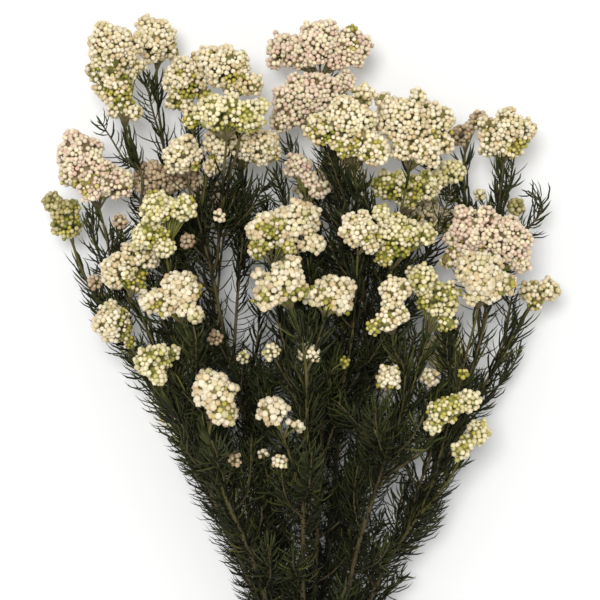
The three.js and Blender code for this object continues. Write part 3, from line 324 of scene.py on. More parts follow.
def settled_heights():
    """Heads that would touch, moved apart along the line of sight."""
    names = list(HEADS)
    height = np.array([float(HEADS[name][0]) for name in names])
    owner = np.array([i for i, name in enumerate(names) for _ in HEADS[name][2]])
    flat = np.array([lobe for name in names for lobe in HEADS[name][2]], float)
    rests = np.array([name in RESTING for name in names])
    first, second = np.triu_indices(len(names), 1)
    for _ in range(SETTLE_PASSES):
        level = height[owner] + flat[:, 3]
        centre = place(flat[:, 0], flat[:, 1], level)
        radius = flat[:, 2] * (VIEW_STEP * nearness(level))
        gap = np.linalg.norm(centre[:, None] - centre[None], axis=2)
        over = radius[:, None] + radius[None] + HEAD_GAP - gap
        worst = np.zeros((len(names), len(names)))
        np.maximum.at(worst, np.ix_(owner, owner), over)
        push = worst[first, second] * SETTLE_STEP * np.where(height[first] >= height[second], 1, -1)
        moves = np.zeros(len(names))
        np.add.at(moves, first, push)
        np.add.at(moves, second, -push)
        moves[rests] = 0
        height += moves
        for i, name in enumerate(names):
            if not rests[i]:
                lobes = real_lobes(name, height[i])
                height[i] += max(0, (lobes[:, 3] - lobes[:, 2]).max())
    return dict(zip(names, height))


class Head:
    """A head's lobes, its middle, the way it faces and the foot that its stem meets."""

    def __init__(self, name, before):
        self.name = name
        self.tint = HEADS[name][1]
        self.lobes = real_lobes(name, HEIGHTS[name])
        weight = self.lobes[:, 3] ** 3
        self.middle = (self.lobes[:, :3] * weight[:, None]).sum(0) / weight.sum()
        self.facing = unit(self.middle - before)
        depth = ((self.middle - self.lobes[:, :3]) @ self.facing + self.lobes[:, 3]).max() + FOOT_DEPTH
        self.foot = self.middle - self.facing * depth

    def balls(self):
        """Round spaces that the head takes up, as rows of x, y, z, radius."""
        rows = [self.lobes]
        for part in THROAT_PARTS:
            centre = self.foot + (self.lobes[:, :3] - self.foot) * part
            radius = THROAT_RADIUS + (self.lobes[:, 3] - THROAT_RADIUS) * part
            rows.append(np.column_stack([centre, radius]))
        return np.concatenate(rows)


class Tube:
    """A stem, branch or twig: its middle line, and what it grows from and carries."""

    def __init__(self, name, node, head, thick, thin, points, parent=None, at=0, young=0.0):
        self.name, self.node, self.head = name, node, head
        self.thick, self.thin, self.points = thick, thin, points
        self.parent, self.at, self.young = parent, at, young

    def radii(self):
        return np.linspace(self.thick, self.thin, len(self.points))


def unit(vectors):
    """The same directions, one long."""
    return vectors / np.maximum(np.linalg.norm(vectors, axis=-1, keepdims=True), 1e-9)


def curve_points(points, t):
    """Centripetal Catmull-Rom curve through the points, at t from 0 to 1."""
    points = np.asarray(points, float)
    before = 2 * points[0] - points[1]
    after = 2 * points[-1] - points[-2]
    padded = np.vstack([before, points, after])
    along = np.asarray(t, float) * (len(points) - 1)
    span = np.minimum(along.astype(int), len(points) - 2)
    weight = (along - span)[:, None]
    p0, p1, p2, p3 = (padded[span + k] for k in range(4))
    pairs = ((p0, p1), (p1, p2), (p2, p3))
    d0, d1, d2 = (np.linalg.norm(b - a, axis=1)[:, None] ** 0.5 for a, b in pairs)
    m1 = ((p1 - p0) / d0 - (p2 - p0) / (d0 + d1) + (p2 - p1) / d1) * d1
    m2 = ((p2 - p1) / d1 - (p3 - p1) / (d1 + d2) + (p3 - p2) / d2) * d1
    c2 = -3 * p1 + 3 * p2 - 2 * m1 - m2
    c3 = 2 * p1 - 2 * p2 + m1 + m2
    return p1 + weight * (m1 + weight * (c2 + weight * c3))


def smooth(points):
    """Evenly spaced points on the curve through the given ones."""
    t = np.linspace(0, 1, 201)
    fine = curve_points(points, t)
    length = np.concatenate([[0], np.cumsum(np.linalg.norm(np.diff(fine, axis=0), axis=1))])
    count = max(3, math.floor(length[-1] / PATH_STEP + 0.5))
    return curve_points(points, np.interp(np.linspace(0, length[-1], count + 1), length, t))


def lay_stem(index, row):
    """A stem from its cut end through the band and along its way to the foot of its head."""
    ring, degrees, to, way = row
    x = ring * math.cos(math.radians(degrees))
    z = ring * math.sin(math.radians(degrees))
    end = -CUT_LENGTH + CUT_STAGGER * math.cos(CUT_STAGGER_TURN * index)
    cut = [x * CUT_FLARE, end, max(CUT_HEIGHT + z * CUT_FLARE, STEM_RADIUS * 0.95)]
    below = [x * MID_FLARE, -CUT_LENGTH / 2, (WAIST_HEIGHT + CUT_HEIGHT) / 2 + z * MID_FLARE]
    straight = [[x, y, WAIST_HEIGHT + z] for y in (-WAIST_HALF, 0, WAIST_HALF)]
    way = [place(*point) for point in way]
    head = Head(to, way[-1])
    tip = head.foot - head.facing * SEAT_GAP
    points = smooth([cut, below, *straight, *way, tip])
    return Tube(to, index, head, STEM_RADIUS, STEM_TIP_RADIUS, points)


def lay_branch(tubes, to, origin, fork, way, young=0):
    """A branch to a head, or a twig to none, from the nearest point to its fork of what it grows from."""
    parent = next(tube for tube in tubes if tube.name == origin)
    at = int(np.abs(seen_down(parent.points) - fork).argmin())
    way = [place(*point) for point in way]
    head = Head(to, way[-1]) if to else None
    tip = [head.foot - head.facing * SEAT_GAP] if head else []
    thick = BRANCH_RADIUS if head else TWIG_RADIUS
    points = smooth([parent.points[at], *way, *tip])
    return Tube(to, parent.node, head, thick, TIP_RADIUS, points, parent, at, young * VIEW_STEP)


def spread(tubes):
    """Pushes the stems off each other, off the heads and off the ground, in small smoothed steps."""
    owner = np.concatenate([np.full(len(tube.points), t) for t, tube in enumerate(tubes)])
    index = np.concatenate([np.arange(len(tube.points)) for tube in tubes])
    radius = np.concatenate([tube.radii() for tube in tubes])
    parent = np.array([tubes.index(tube.parent) if tube.parent else -1 for tube in tubes])
    at = np.array([tube.at for tube in tubes])
    i, j = np.triu_indices(len(owner), 1)
    keep = owner[i] != owner[j]
    i, j = i[keep], j[keep]

    def on_child(a, b):
        near_fork = np.abs(index[b] - at[owner[a]]) < FORK_REACH
        return (parent[owner[a]] == owner[b]) & (index[a] < FORK_POINTS) & near_fork

    siblings = (parent[owner[i]] >= 0) & (parent[owner[i]] == parent[owner[j]])
    siblings &= np.abs(at[owner[i]] - at[owner[j]]) < TWIN_REACH
    siblings &= (index[i] < FORK_POINTS) & (index[j] < FORK_POINTS)
    keep = ~(on_child(i, j) | on_child(j, i) | siblings)
    points = np.concatenate([tube.points for tube in tubes])
    keep &= ((points[i] - points[j]) ** 2).sum(1) < SPREAD_REACH ** 2
    i, j = i[keep], j[keep]
    need = radius[i] + radius[j] + TUBE_GAP
    carried = [(t, tube.head.balls()) for t, tube in enumerate(tubes) if tube.head]
    balls = np.concatenate([rows for _, rows in carried])
    ball_owner = np.concatenate([np.full(len(rows), t) for t, rows in carried])
    other = owner[:, None] != ball_owner[None]
    starts = np.searchsorted(owner, np.arange(len(tubes)))
    for _ in range(SPREAD_PASSES):
        points = np.concatenate([tube.points for tube in tubes])
        pushes = np.zeros_like(points)
        away = points[i] - points[j]
        gap = np.linalg.norm(away, axis=1)
        close = gap < need
        push = away[close] * (0.5 * (need - gap)[close] / np.maximum(gap[close], 0.1))[:, None]
        np.add.at(pushes, i[close], push)
        np.add.at(pushes, j[close], -push)
        away = points[:, None] - balls[None, :, :3]
        gap = np.linalg.norm(away, axis=2)
        lack = np.where(other, np.maximum(0, radius[:, None] + balls[None, :, 3] + TUBE_GAP - gap), 0)
        pushes += (away * (lack / gap)[..., None]).sum(1)
        sunk = np.maximum(0, radius + GROUND_GAP - points[:, 2])
        pushes[:, 2] += np.where(points[:, 1] > 0, sunk, 0)
        for t, tube in enumerate(tubes):
            own = pushes[starts[t]:starts[t] + len(tube.points)]
            held = np.zeros(len(own), bool)
            if tube.head:
                held[-2:] = True
            if tube.parent is None:
                held |= tube.points[:, 1] < WAIST_HALF + WAIST_MARGIN
            for _ in range(SPREAD_SMOOTHING):
                before = np.vstack([own[:1], own[:-1]])
                after = np.vstack([own[1:], own[-1:]])
                own[:] = np.where(held[:, None], 0, own * 0.5 + before * 0.25 + after * 0.25)
                if tube.parent:
                    own[0] = pushes[starts[parent[t]] + tube.at]
            tube.points += own * SPREAD_STEP
            if tube.parent:
                tube.points[0] = tube.parent.points[tube.at]


HEIGHTS = settled_heights()
TUBES = [lay_stem(index, row) for index, row in enumerate(STEMS)]
for row in BRANCHES:
    TUBES.append(lay_branch(TUBES, *row))
for origin, fork, way, young in TWIGS:
    TUBES.append(lay_branch(TUBES, None, origin, fork, way, young))
spread(TUBES)

# Where the layout's frame lies in the part's frame
SHIFT = (np.array(BAND_BOX[0]) + np.array(BAND_BOX[1])) * 500 - np.array([0, 0, WAIST_HEIGHT])
LOW = np.array(CAD_BOX[0]) * 1000 - SHIFT
HIGH = np.array(CAD_BOX[1]) * 1000 - SHIFT


def linear(code):
    """The linear colour of an sRGB hex code."""
    value = np.array([int(code[k:k + 2], 16) for k in (0, 2, 4)]) / 255
    return np.where(value <= 0.04045, value / 12.92, ((value + 0.055) / 1.055) ** 2.4)


# Bud colours by tint, each with how often it comes
BUD_COLOURS = {
    "cream": [("ecdfc0", 0.46), ("e2d1aa", 0.33), ("d5bd92", 0.13), ("d3c896", 0.08)],
    "pink": [("e5ceb6", 0.42), ("dabba4", 0.14), ("e8dab8", 0.44)],
    "yellow": [("e8dcb4", 0.62), ("d9cd98", 0.27), ("bdb468", 0.11)],
    "olive": [("c6b988", 0.50), ("aea064", 0.35), ("8f8848", 0.15)],
    "brown": [("c0a988", 0.45), ("a98e70", 0.35), ("cdbb9a", 0.20)],
    "young": [("b3a746", 0.40), ("8f8e2e", 0.32), ("cdc070", 0.28)],
}
STALK_GREEN = linear("7d7c35")
STALK_BROWN = linear("5a5030")
NEEDLE_COLOURS = [
    ("1f220e", 0.42), ("2a2d13", 0.28), ("383918", 0.18), ("504f26", 0.08), ("16180a", 0.04),
]
NEEDLE_FRESH = linear("465022")
BARK = linear("39321f")
BARK_LIGHT = linear("695d3c")
WOOD = linear("c9b27a")
PITH = linear("8e744a")

# Radii of the wood that is seen, a little less than those of the solids: of a stem at its cut end, past the
# band, where its leaves begin and at its tip, and of branches and twigs at their feet and tips
STEM_WOOD = (2.45, 2.4, 1.6, 0.85)
BRANCH_WOOD = (1.0, 0.7)
THIN_WOOD = (0.8, 0.5)
# Of a cut face: how wide each ring is beside the rim, and how far out it lies
CUT_RINGS = [(1.0, 0.0), (0.97, 0.35), (0.8, 0.5), (0.3, 0.45)]

# The band: an elastic 3 wide and 1 thick, wound twice
BAND_COLOUR = "c2a878"
BAND_RADIUS = 11.75
BAND_OFFSET = 1.75  # of each turn's middle from the band's
BAND_CROSSING = 1.25  # how high one turn passes over the other
BAND_DIP = 0.14  # between the stems that it lies on
OUTER_STEMS = 9
BAND_STEPS = 168
BAND_PROFILE = [
    (-1.5, -0.25), (-1.25, -0.5), (1.25, -0.5), (1.5, -0.25), (1.5, 0.25), (1.25, 0.5), (0, 0.56),
    (-1.25, 0.5), (-1.5, 0.25),
]

BUD_RADIUS = 1.76
BUD_SPACING = 1.48  # from bud to bud, beside a bud's radius
SMALL_LOBE = 6.5  # a lobe up to this radius has no clusters of its own
LARGE_BUDS = {"N": 2.25, "O": 2.15, "Q1": 2.05, "K": 2.0, "Q2": 2.0, "Y2": 2.0, "P": 1.9}
GAP_SHARE = 0.64  # the small buds in the gaps, beside the full ones
GAP_ROOM = 1.3  # how far from the full buds a small one stands at least, beside a full bud's radius
GAP_CHANCE = {"cream": 0.35, "pink": 0.15, "yellow": 0.6, "olive": 0.6, "brown": 0.2}  # of a green one
CREASE = 0.45  # how near to a neighbouring cluster a bud may be left out
CREASE_LOSS = 0.35  # the share of those that is left out

# The clusters of buds on a lobe: the lobe itself, a little smaller, and those that stand out from it
LOBE_BASE = 0.84  # radius of the first, beside the lobe's
SMALL_BASE = 1.02  # the same for a lobe without clusters of its own
WIDE_LOBE = 12
FEW_CLUSTERS = 12  # spread over a lobe up to that radius
MANY_CLUSTERS = 15  # and over a wider one
CLUSTER_OUT = 0.66  # from the lobe's middle to a cluster's, beside the lobe's radius
CLUSTER_RADIUS = 0.39  # beside the lobe's
CLUSTER_FLOOR = -0.86  # no clusters further round than this towards the stem
BUD_FLOOR = -0.82  # the same for buds, beside the lobe's radius
CANDIDATES = 160  # places tried on a cluster, times the square of its radius beside the buds' spacing
YOUNG_CHANCE = {"cream": 0.02, "pink": 0.02, "yellow": 0.12, "olive": 0.12, "brown": 0.02}  # of a cluster
# How much likelier a cluster is young where it sits low in its head
YOUNG_BELOW = {"cream": 0.4, "pink": 0.15, "yellow": 0.7, "olive": 0.6, "brown": 0.1}

# The dome between a lobe's buds: how far it reaches into the lobe at most, its rings at degrees from its
# axis, their distance as a share of that reach, their painted shade, darker towards the stem, and its depth
# on the stem's side
CORE_TONES = {"cream": "7c7236", "pink": "856f4c", "yellow": "7c7a2c", "olive": "666526", "brown": "5c4e34"}
CORE_REACH = 0.72
CORE_RINGS = [(22, 1.0), (48, 1.0), (74, 1.0), (98, 0.92), (122, 0.72)]
CORE_PAINTED_SHADES = [1.0, 1.0, 0.85, 0.5, 0.3]
CORE_DEPTH = 0.5
CORE_SIDES = 10

# Seeds of the random draws
SHOOT_SEED = 61
HEAD_SEED = 100
NEEDLE_SEED = 500
WOOD_SEED = 700

# Young clusters at the tips of twigs: their tints in the order of TWIGS, and the size of their buds
TWIG_TINTS = [
    "yellow", "cream", "yellow", "cream", "brown", "cream", "yellow", "pink", "brown", "brown",
    "young", "young", "yellow", "cream", "cream", "cream", "cream", "cream", "brown", "brown",
]
YOUNG_SIZE = 1.6


def add_object(name, data):
    thing = bpy.data.objects.new(name, data)
    bpy.context.scene.collection.objects.link(thing)
    return thing


class Batch:
    """Triangles gathered for one piece, with a colour for each point and a material for each triangle."""

    def __init__(self):
        self.points, self.faces, self.tones, self.slots, self.count = [], [], [], [], 0

    def add(self, points, faces, tones, slot=0):
        points = np.asarray(points, float).reshape(-1, 3)
        faces = np.asarray(faces).reshape(-1, 3)
        self.points.append(points)
        self.faces.append(faces + self.count)
        self.tones.append(np.broadcast_to(tones, points.shape))
        self.slots.append(np.full(len(faces), slot))
        self.count += len(points)

    def make(self, name, materials, slot, *nodes):
        """The piece, in metres and in the part's frame, in place of its nodes."""
        points = (np.concatenate(self.points) + SHIFT) / 1000
        faces = np.concatenate(self.faces).astype(np.int32)
        mesh = bpy.data.meshes.new(name)
        mesh.vertices.add(len(points))
        mesh.vertices.foreach_set("co", points.astype(np.float32).ravel())
        mesh.loops.add(faces.size)
        mesh.loops.foreach_set("vertex_index", faces.ravel())
        mesh.polygons.add(len(faces))
        mesh.polygons.foreach_set("loop_start", np.arange(0, faces.size, 3, dtype=np.int32))
        mesh.polygons.foreach_set("material_index", np.concatenate(self.slots).astype(np.int32))
        mesh.polygons.foreach_set("use_smooth", np.ones(len(faces), bool))
        tones = np.ones((len(points), 4), np.float32)
        tones[:, :3] = np.concatenate(self.tones)
        mesh.attributes.new("tone", "FLOAT_COLOR", "POINT").data.foreach_set("color", tones.ravel())
        for material in materials:
            mesh.materials.append(material)
        mesh.update(calc_edges=True)
        piece = add_object(name, mesh)
        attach(piece, "root")
        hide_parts(*nodes)


def pick(rng, colours, count):
    """Linear colours drawn from a list of hex codes and shares."""
    table = np.array([linear(code) for code, _ in colours])
    share = np.array([part for _, part in colours])
    return table[rng.choice(len(table), size=count, p=share / share.sum())]


def frames_along(axes, rng=None):
    """For each axis, two directions across it, turned at random, and the axis itself."""
    axes = unit(np.asarray(axes, float))
    spare = np.where(np.abs(axes[:, 2:3]) > 0.9, [[1.0, 0.0, 0.0]], [[0.0, 0.0, 1.0]])
    side = unit(np.cross(spare, axes))
    other = np.cross(axes, side)
    if rng is not None:
        turn = rng.uniform(0, 2 * math.pi, len(axes))[:, None]
        cosine, sine = np.cos(turn), np.sin(turn)
        side, other = side * cosine + other * sine, other * cosine - side * sine
    return np.stack([side, other, axes], 1)


def copies(points, faces, frames, origins, sizes):
    """Copies of a small mesh, each in its own frame."""
    made = origins[:, None] + sizes[:, None, None] * np.einsum("vi,nij->nvj", points, frames)
    return made, faces[None] + (np.arange(len(origins)) * len(points))[:, None, None]


def ring_faces(rings, sides):
    """Triangles between neighbouring rings of a closed tube."""
    first = np.arange(sides)
    after = (first + 1) % sides
    lower = np.concatenate([
        np.stack([first, after, after + sides], 1),
        np.stack([first, after + sides, first + sides], 1),
    ])
    return np.concatenate([lower + ring * sides for ring in range(rings - 1)])


def capped_faces(rings, sides):
    """Triangles of rings that close in a first point below them and a last one above."""
    top = rings * sides + 1
    fans = [(0, (k + 1) % sides + 1, k + 1) for k in range(sides)]
    fans += [(top, top - sides + k, top - sides + (k + 1) % sides) for k in range(sides)]
    return np.concatenate([ring_faces(rings, sides) + 1, fans])


def end_faces(rings, sides):
    """Fans that close both ends of a tube."""
    fan = np.array([[0, k + 1, k] for k in range(1, sides - 1)])
    last = (rings - 1) * sides
    return np.concatenate([fan, last + fan[:, ::-1]])


def sticks(starts, ends, thick, thin, sides=3):
    """Straight closed sticks from one place to another."""
    starts, ends = np.asarray(starts, float), np.asarray(ends, float)
    frames = frames_along(ends - starts)
    angle = np.arange(sides) * 2 * math.pi / sides
    circle = np.stack([np.cos(angle), np.sin(angle)], 1)
    ring = np.einsum("ki,nij->nkj", circle, frames[:, :2])
    points = np.concatenate([starts[:, None] + ring * thick, ends[:, None] + ring * thin], 1)
    faces = np.concatenate([ring_faces(2, sides), end_faces(2, sides)])
    return points, faces[None] + (np.arange(len(starts)) * 2 * sides)[:, None, None]


def tube_rings(points, radii, sides):
    """Rings of points round a middle line, without twist."""
    tangent = unit(np.gradient(points, axis=0))
    side = np.cross([0.13, 0.1, 1.0], tangent[0])
    rings = []
    angle = (np.arange(sides) * 2 * math.pi / sides)[:, None]
    for point, along, radius in zip(points, tangent, radii):
        side = unit(side - along * (side @ along))
        other = np.cross(along, side)
        rings.append(point + radius * (side * np.cos(angle) + other * np.sin(angle)))
    return np.array(rings)


def along_line(points, places):
    """Points and directions at distances along a middle line."""
    steps = np.linalg.norm(np.diff(points, axis=0), axis=1)
    length = np.concatenate([[0], np.cumsum(steps)])
    tangent = unit(np.gradient(points, length, axis=0))
    spot = np.stack([np.interp(places, length, points[:, k]) for k in range(3)], 1)
    way = np.stack([np.interp(places, length, tangent[:, k]) for k in range(3)], 1)
    return spot, unit(way)


def line_length(points):
    return np.linalg.norm(np.diff(points, axis=0), axis=1).sum()


def even_directions(count, pole, rng):
    """Directions spread evenly over a sphere, the first ones towards the pole."""
    rise = 1 - (2 * np.arange(count) + 1) / count
    flat = np.sqrt(1 - rise * rise)
    angle = np.arange(count) * GOLDEN_ANGLE + rng.uniform(0, 2 * math.pi)
    frame = frames_along([pole])[0]
    return np.stack([flat * np.cos(angle), flat * np.sin(angle), rise], 1) @ frame


# A bud: overlapping papery bracts, three in each row, as a closed relief on a ball with its stalk below.
# Each row is height, radius, how far its points go up and down in turn, painted shade and highlight (darker
# at the base and under each bract's edge, lighter on the raised rows), and how far it is from green.
BUD_ROWS = [
    (-0.66, 0.66, 0.00, 0.66, 0.50),
    (0.02, 1.00, 0.20, 0.98, 0.92),
    (0.10, 0.90, 0.20, 0.78, 1.00),
    (0.60, 0.78, -0.14, 1.12, 1.00),
    (0.66, 0.62, -0.14, 0.92, 1.00),
]
SMALL_BUD_ROWS = [
    (-0.62, 0.72, 0.00, 0.66, 0.50),
    (0.10, 1.00, 0.17, 0.93, 0.95),
    (0.66, 0.70, -0.13, 1.08, 1.00),
]
GAP_BUD_ROWS = [
    (-0.40, 0.85, 0.10, 0.62, 0.55),
    (0.50, 0.80, -0.12, 1.00, 1.00),
]
# Painted highlight on the top point of each bud
BUD_TOP_HIGHLIGHT = 1.14


def bud_shape(rows):
    """Points and faces of a bud one in radius, the painted shade and highlight of each point, and its
    ripeness.
    """
    # The bottom point gets painted shade, the top point a painted highlight.
    points, shade, ripe = [(0, 0, -0.98)], [0.65], [0.3]
    for height, radius, zigzag, tone, ripeness in rows:
        for k in range(6):
            angle = k * math.pi / 3
            point_up = zigzag * (-1) ** k
            points.append((radius * math.cos(angle), radius * math.sin(angle), height + point_up))
            # Painted light: bract points that stand up are lighter, those that dip down darker.
            shade.append(tone * (1 + 0.3 * point_up))
            ripe.append(ripeness)
    points.append((0, 0, 0.96))
    shade.append(BUD_TOP_HIGHLIGHT)
    ripe.append(1.0)
    faces = capped_faces(len(rows), 6)
    return np.array(points), faces, np.array(shade)[:, None], np.array(ripe)[:, None]


BUD = bud_shape(BUD_ROWS)
SMALL_BUD = bud_shape(SMALL_BUD_ROWS)
GAP_BUD = bud_shape(GAP_BUD_ROWS)


def add_buds(batch, rng, shape, places, axes, sizes, colours, slot=0):
    """Buds of one shape at their places, green at the stalk and of their own colours above."""
    bud, bud_faces, shade, ripe = shape
    points, faces = copies(bud, bud_faces, frames_along(axes, rng), places, sizes)
    tones = STALK_GREEN + (colours[:, None] - STALK_GREEN) * ripe[None]
    # The shape's painted shade and highlight darken and lighten each point's colour.
    batch.add(points, faces, (tones * shade[None]).reshape(-1, 3), slot)


def add_core(batch, rng, lobe, hub, tone, part):
    """What is seen between the buds of a lobe: their crowded stalks, as a closed dome.

    The dome reaches to the given part of the lobe's radius, and has painted shade that darkens it towards the
    stem.
    """
    axis = unit(lobe[:3] - hub)
    frame = frames_along([axis], rng)[0]
    rings = []
    turn = np.arange(CORE_SIDES) * 2 * math.pi / CORE_SIDES
    for degrees, share in CORE_RINGS:
        flat = math.sin(math.radians(degrees))
        rise = np.full(CORE_SIDES, math.cos(math.radians(degrees)))
        ring = np.stack([flat * np.cos(turn), flat * np.sin(turn), rise], 1)
        rings.append(lobe[:3] + lobe[3] * part * share * ring @ frame)
    top = lobe[:3] + axis * lobe[3] * part
    points = np.vstack([top, *rings, lobe[:3] - axis * lobe[3] * part * CORE_DEPTH])
    faces = capped_faces(len(rings), CORE_SIDES)[:, ::-1]
    # Painted shade: the rings darken towards the stem and the lowest point is at 0.3; the random spread of
    # 0.8 to 1.15 is tone.
    shade = np.concatenate([[1], np.repeat(CORE_PAINTED_SHADES, CORE_SIDES), [0.3]])[:, None]
    shade = shade * rng.uniform(0.8, 1.15, (len(points), 1))
    points[:, 2] = np.maximum(points[:, 2], 0.6)
    batch.add(points, faces, linear(tone) * shade, 1)


def packed(places, apart):
    """Places picked one after the other, each as near to the ones before as the distance apart allows.

    The second result says how far each place is from the nearest one that was picked.
    """
    taken = [0]
    nearest = ((places - places[0]) ** 2).sum(1)
    while True:
        free = np.where(nearest >= apart * apart, nearest, np.inf)
        best = int(free.argmin())
        if not np.isfinite(free[best]):
            return np.array(taken, int), np.sqrt(nearest)
        taken.append(best)
        nearest = np.minimum(nearest, ((places - places[best]) ** 2).sum(1))


def bridged(lobes):
    """The lobes, with a smaller one between any two that stand next to each other."""
    rows = list(lobes)
    for i, one in enumerate(lobes):
        for two in lobes[i + 1:]:
            gap = np.linalg.norm(one[:3] - two[:3]) - one[3] - two[3]
            if gap < 6:
                middle = one[:3] + (two[:3] - one[:3]) * (one[3] / (one[3] + two[3]))
                rows.append(np.append(middle, 0.8 * min(one[3], two[3])))
    return np.array(rows)


def lobe_clusters(lobes, facing, rng):
    """Middles and radii of the round clusters of buds on a head's lobes, and the lobe of each."""
    centres, reach, lobe_of = [], [], []
    for index, (*centre, radius) in enumerate(lobes):
        centres.append([centre])
        reach.append([radius * (LOBE_BASE if radius > SMALL_LOBE else SMALL_BASE)])
        lobe_of.append([index])
        if radius <= SMALL_LOBE:
            continue
        ways = even_directions(MANY_CLUSTERS if radius > WIDE_LOBE else FEW_CLUSTERS, facing, rng)
        ways = unit(ways + rng.normal(0, 0.12, ways.shape))
        ways = ways[ways @ facing > CLUSTER_FLOOR]
        far = radius * CLUSTER_OUT * rng.uniform(0.9, 1.12, len(ways))
        centres.append(np.array(centre) + ways * far[:, None])
        reach.append(radius * CLUSTER_RADIUS * rng.uniform(0.85, 1.15, len(ways)))
        lobe_of.append(np.full(len(ways), index))
    return [np.concatenate(rows) for rows in (centres, reach, lobe_of)]


def bud_places(lobes, clusters, facing, size, rng):
    """Places where a bud may sit, the way out at each, its cluster, and whether it is in a crease."""
    centres, reach, lobe_of = clusters
    found = []
    for index, (centre, radius) in enumerate(zip(centres, reach)):
        count = round(CANDIDATES * (radius / (BUD_SPACING * size)) ** 2)
        ways = even_directions(count, facing, rng)
        spots = centre + ways * max(radius - size, 0.5)
        lobe = lobes[lobe_of[index]]
        keep = (spots - lobe[:3]) @ facing > BUD_FLOOR * lobe[3]
        gaps = np.linalg.norm(spots[:, None] - centres[None], axis=2) - reach[None] + size
        gaps[:, index] = 1
        keep &= (gaps > -0.01).all(1)
        owner = np.full(keep.sum(), index)
        found.append((spots[keep], ways[keep], owner, gaps[keep].min(1) < CREASE))
    return [np.concatenate(rows) for rows in zip(*found)]


def dress_head(head, seed):
    """The buds of a head in lumpy clusters on its lobes, each on a stalk, and the stalks to the foot."""
    rng = np.random.default_rng(seed)
    batch = Batch()
    size = LARGE_BUDS.get(head.name, BUD_RADIUS)
    shape = BUD if head.name in LARGE_BUDS else SMALL_BUD
    lobes = bridged(head.lobes)
    widest = lobes[:, 3].max()
    clusters = lobe_clusters(lobes, head.facing, rng)
    centres, _, lobe_of = clusters
    hub = head.foot + (lobes[:, :3] - head.foot) * 0.5
    rise = (centres - head.middle) @ head.facing / widest
    lowness = np.clip(0.2 - rise, 0, 0.7)
    young = rng.random(len(centres)) < YOUNG_CHANCE[head.tint] + YOUNG_BELOW[head.tint] * lowness
    places, outward, owner, creased = bud_places(lobes, clusters, head.facing, size, rng)

    # Which places get a full bud, and the small buds in the gaps between those
    taken, nearest = packed(places, BUD_SPACING * size)
    if shape is SMALL_BUD:
        taken = taken[~creased[taken] | (rng.random(len(taken)) > CREASE_LOSS)]
    shown = (places[:, 2] > head.lobes[:, 2].min()) | (outward @ head.facing > 0)
    if shape is SMALL_BUD:
        shown &= ~creased
    free = np.flatnonzero((nearest > GAP_ROOM * size) & shown)
    if len(free):
        gaps = free[packed(places[free], BUD_SPACING * GAP_SHARE * size)[0]]
        small = size * GAP_SHARE * rng.uniform(0.85, 1.15, len(gaps))
        spots = places[gaps] - outward[gaps] * size * 0.12
        spots[:, 2] = np.maximum(spots[:, 2], small + 0.02)
        colours = pick(rng, BUD_COLOURS[head.tint], len(gaps))
        green = pick(rng, BUD_COLOURS["young"], len(gaps))
        low = np.clip(0.9 - (spots - head.middle) @ head.facing / widest, 0.3, 1.3)
        turned = (rng.random(len(gaps)) < GAP_CHANCE[head.tint] * low)[:, None]
        # Painted shade: the small buds down in the gaps are darkened to 0.7 to 0.95 of their colour.
        colours = np.where(turned, green, colours) * rng.uniform(0.7, 0.95, (len(gaps), 1))
        add_buds(batch, rng, GAP_BUD, spots, outward[gaps], small, colours)

    # The full buds, a little ragged, and smaller where they are young
    places, outward, owner = places[taken], outward[taken], owner[taken]
    count = len(places)
    places = places + rng.normal(0, 0.07, places.shape) * size
    places = places - outward * (np.clip(rng.normal(0.06, 0.24, (count, 1)), -0.4, 0.5) * size)
    sizes = size * rng.uniform(0.88, 1.12, count) * np.where(young[owner], 0.82, 1)
    places[:, 2] = np.maximum(places[:, 2], sizes + 0.02)
    base = hub[lobe_of[owner]]
    axes = unit(outward * 0.6 + unit(places - base) * 0.6)
    colours = pick(rng, BUD_COLOURS[head.tint], count)
    green = pick(rng, BUD_COLOURS["young"], count)
    colours = np.where((young[owner] & (rng.random(count) < 0.7))[:, None], green, colours)
    colours = colours * rng.uniform(0.84, 1.04, (count, 1))
    add_buds(batch, rng, shape, places, axes, sizes, colours)
    for lobe, foot in zip(lobes, hub):
        share = LOBE_BASE if lobe[3] > SMALL_LOBE else 1.0
        part = min(CORE_REACH, share - 0.95 * size / lobe[3])
        add_core(batch, rng, lobe, foot, CORE_TONES[head.tint], part)

    # The stalks: to each bud seen from the side or below, to each cluster, and from the foot to each lobe
    knots = hub[lobe_of] + (centres - hub[lobe_of]) * 0.45
    low = np.flatnonzero(outward @ head.facing < 0.3)
    stalk = STALK_GREEN * rng.uniform(0.7, 1.1, (len(low), 1))
    points, faces = sticks(knots[owner[low]], (places - axes * sizes[:, None] * 0.9)[low], 0.34, 0.3)
    batch.add(points, faces, np.repeat(stalk, 6, 0), 1)
    along = rng.uniform(0.35, 0.95, (len(centres), 1))
    starts = head.foot + (hub[lobe_of] - head.foot) * along
    points, faces = sticks(starts, knots, 0.55, 0.4, 4)
    batch.add(points, faces, STALK_GREEN * 0.8, 1)
    tip = np.repeat(head.foot[None] - head.facing * (SEAT_GAP + 1.5), len(hub), 0)
    points, faces = sticks(tip, hub, 0.7, 0.5, 6)
    batch.add(points, faces, STALK_BROWN, 1)
    batch.make("head_" + head.name, [PAPER, STALK], "buds_" + head.tint, "flower_head_" + head.name)


# Needles: three-cornered blades with four steps along them, the last one a point
NEEDLE_STEPS = np.array([0.0, 0.3, 0.7, 1.0])
NEEDLE_WIDTHS = np.array([0.62, 1.0, 0.85])
NEEDLE_FACES = np.concatenate([
    ring_faces(3, 3),
    [[0, 2, 1]],
    [[6, 7, 9], [7, 8, 9], [8, 6, 9]],
])
NEEDLE_PITCH = 0.58  # along the wood from needle to needle
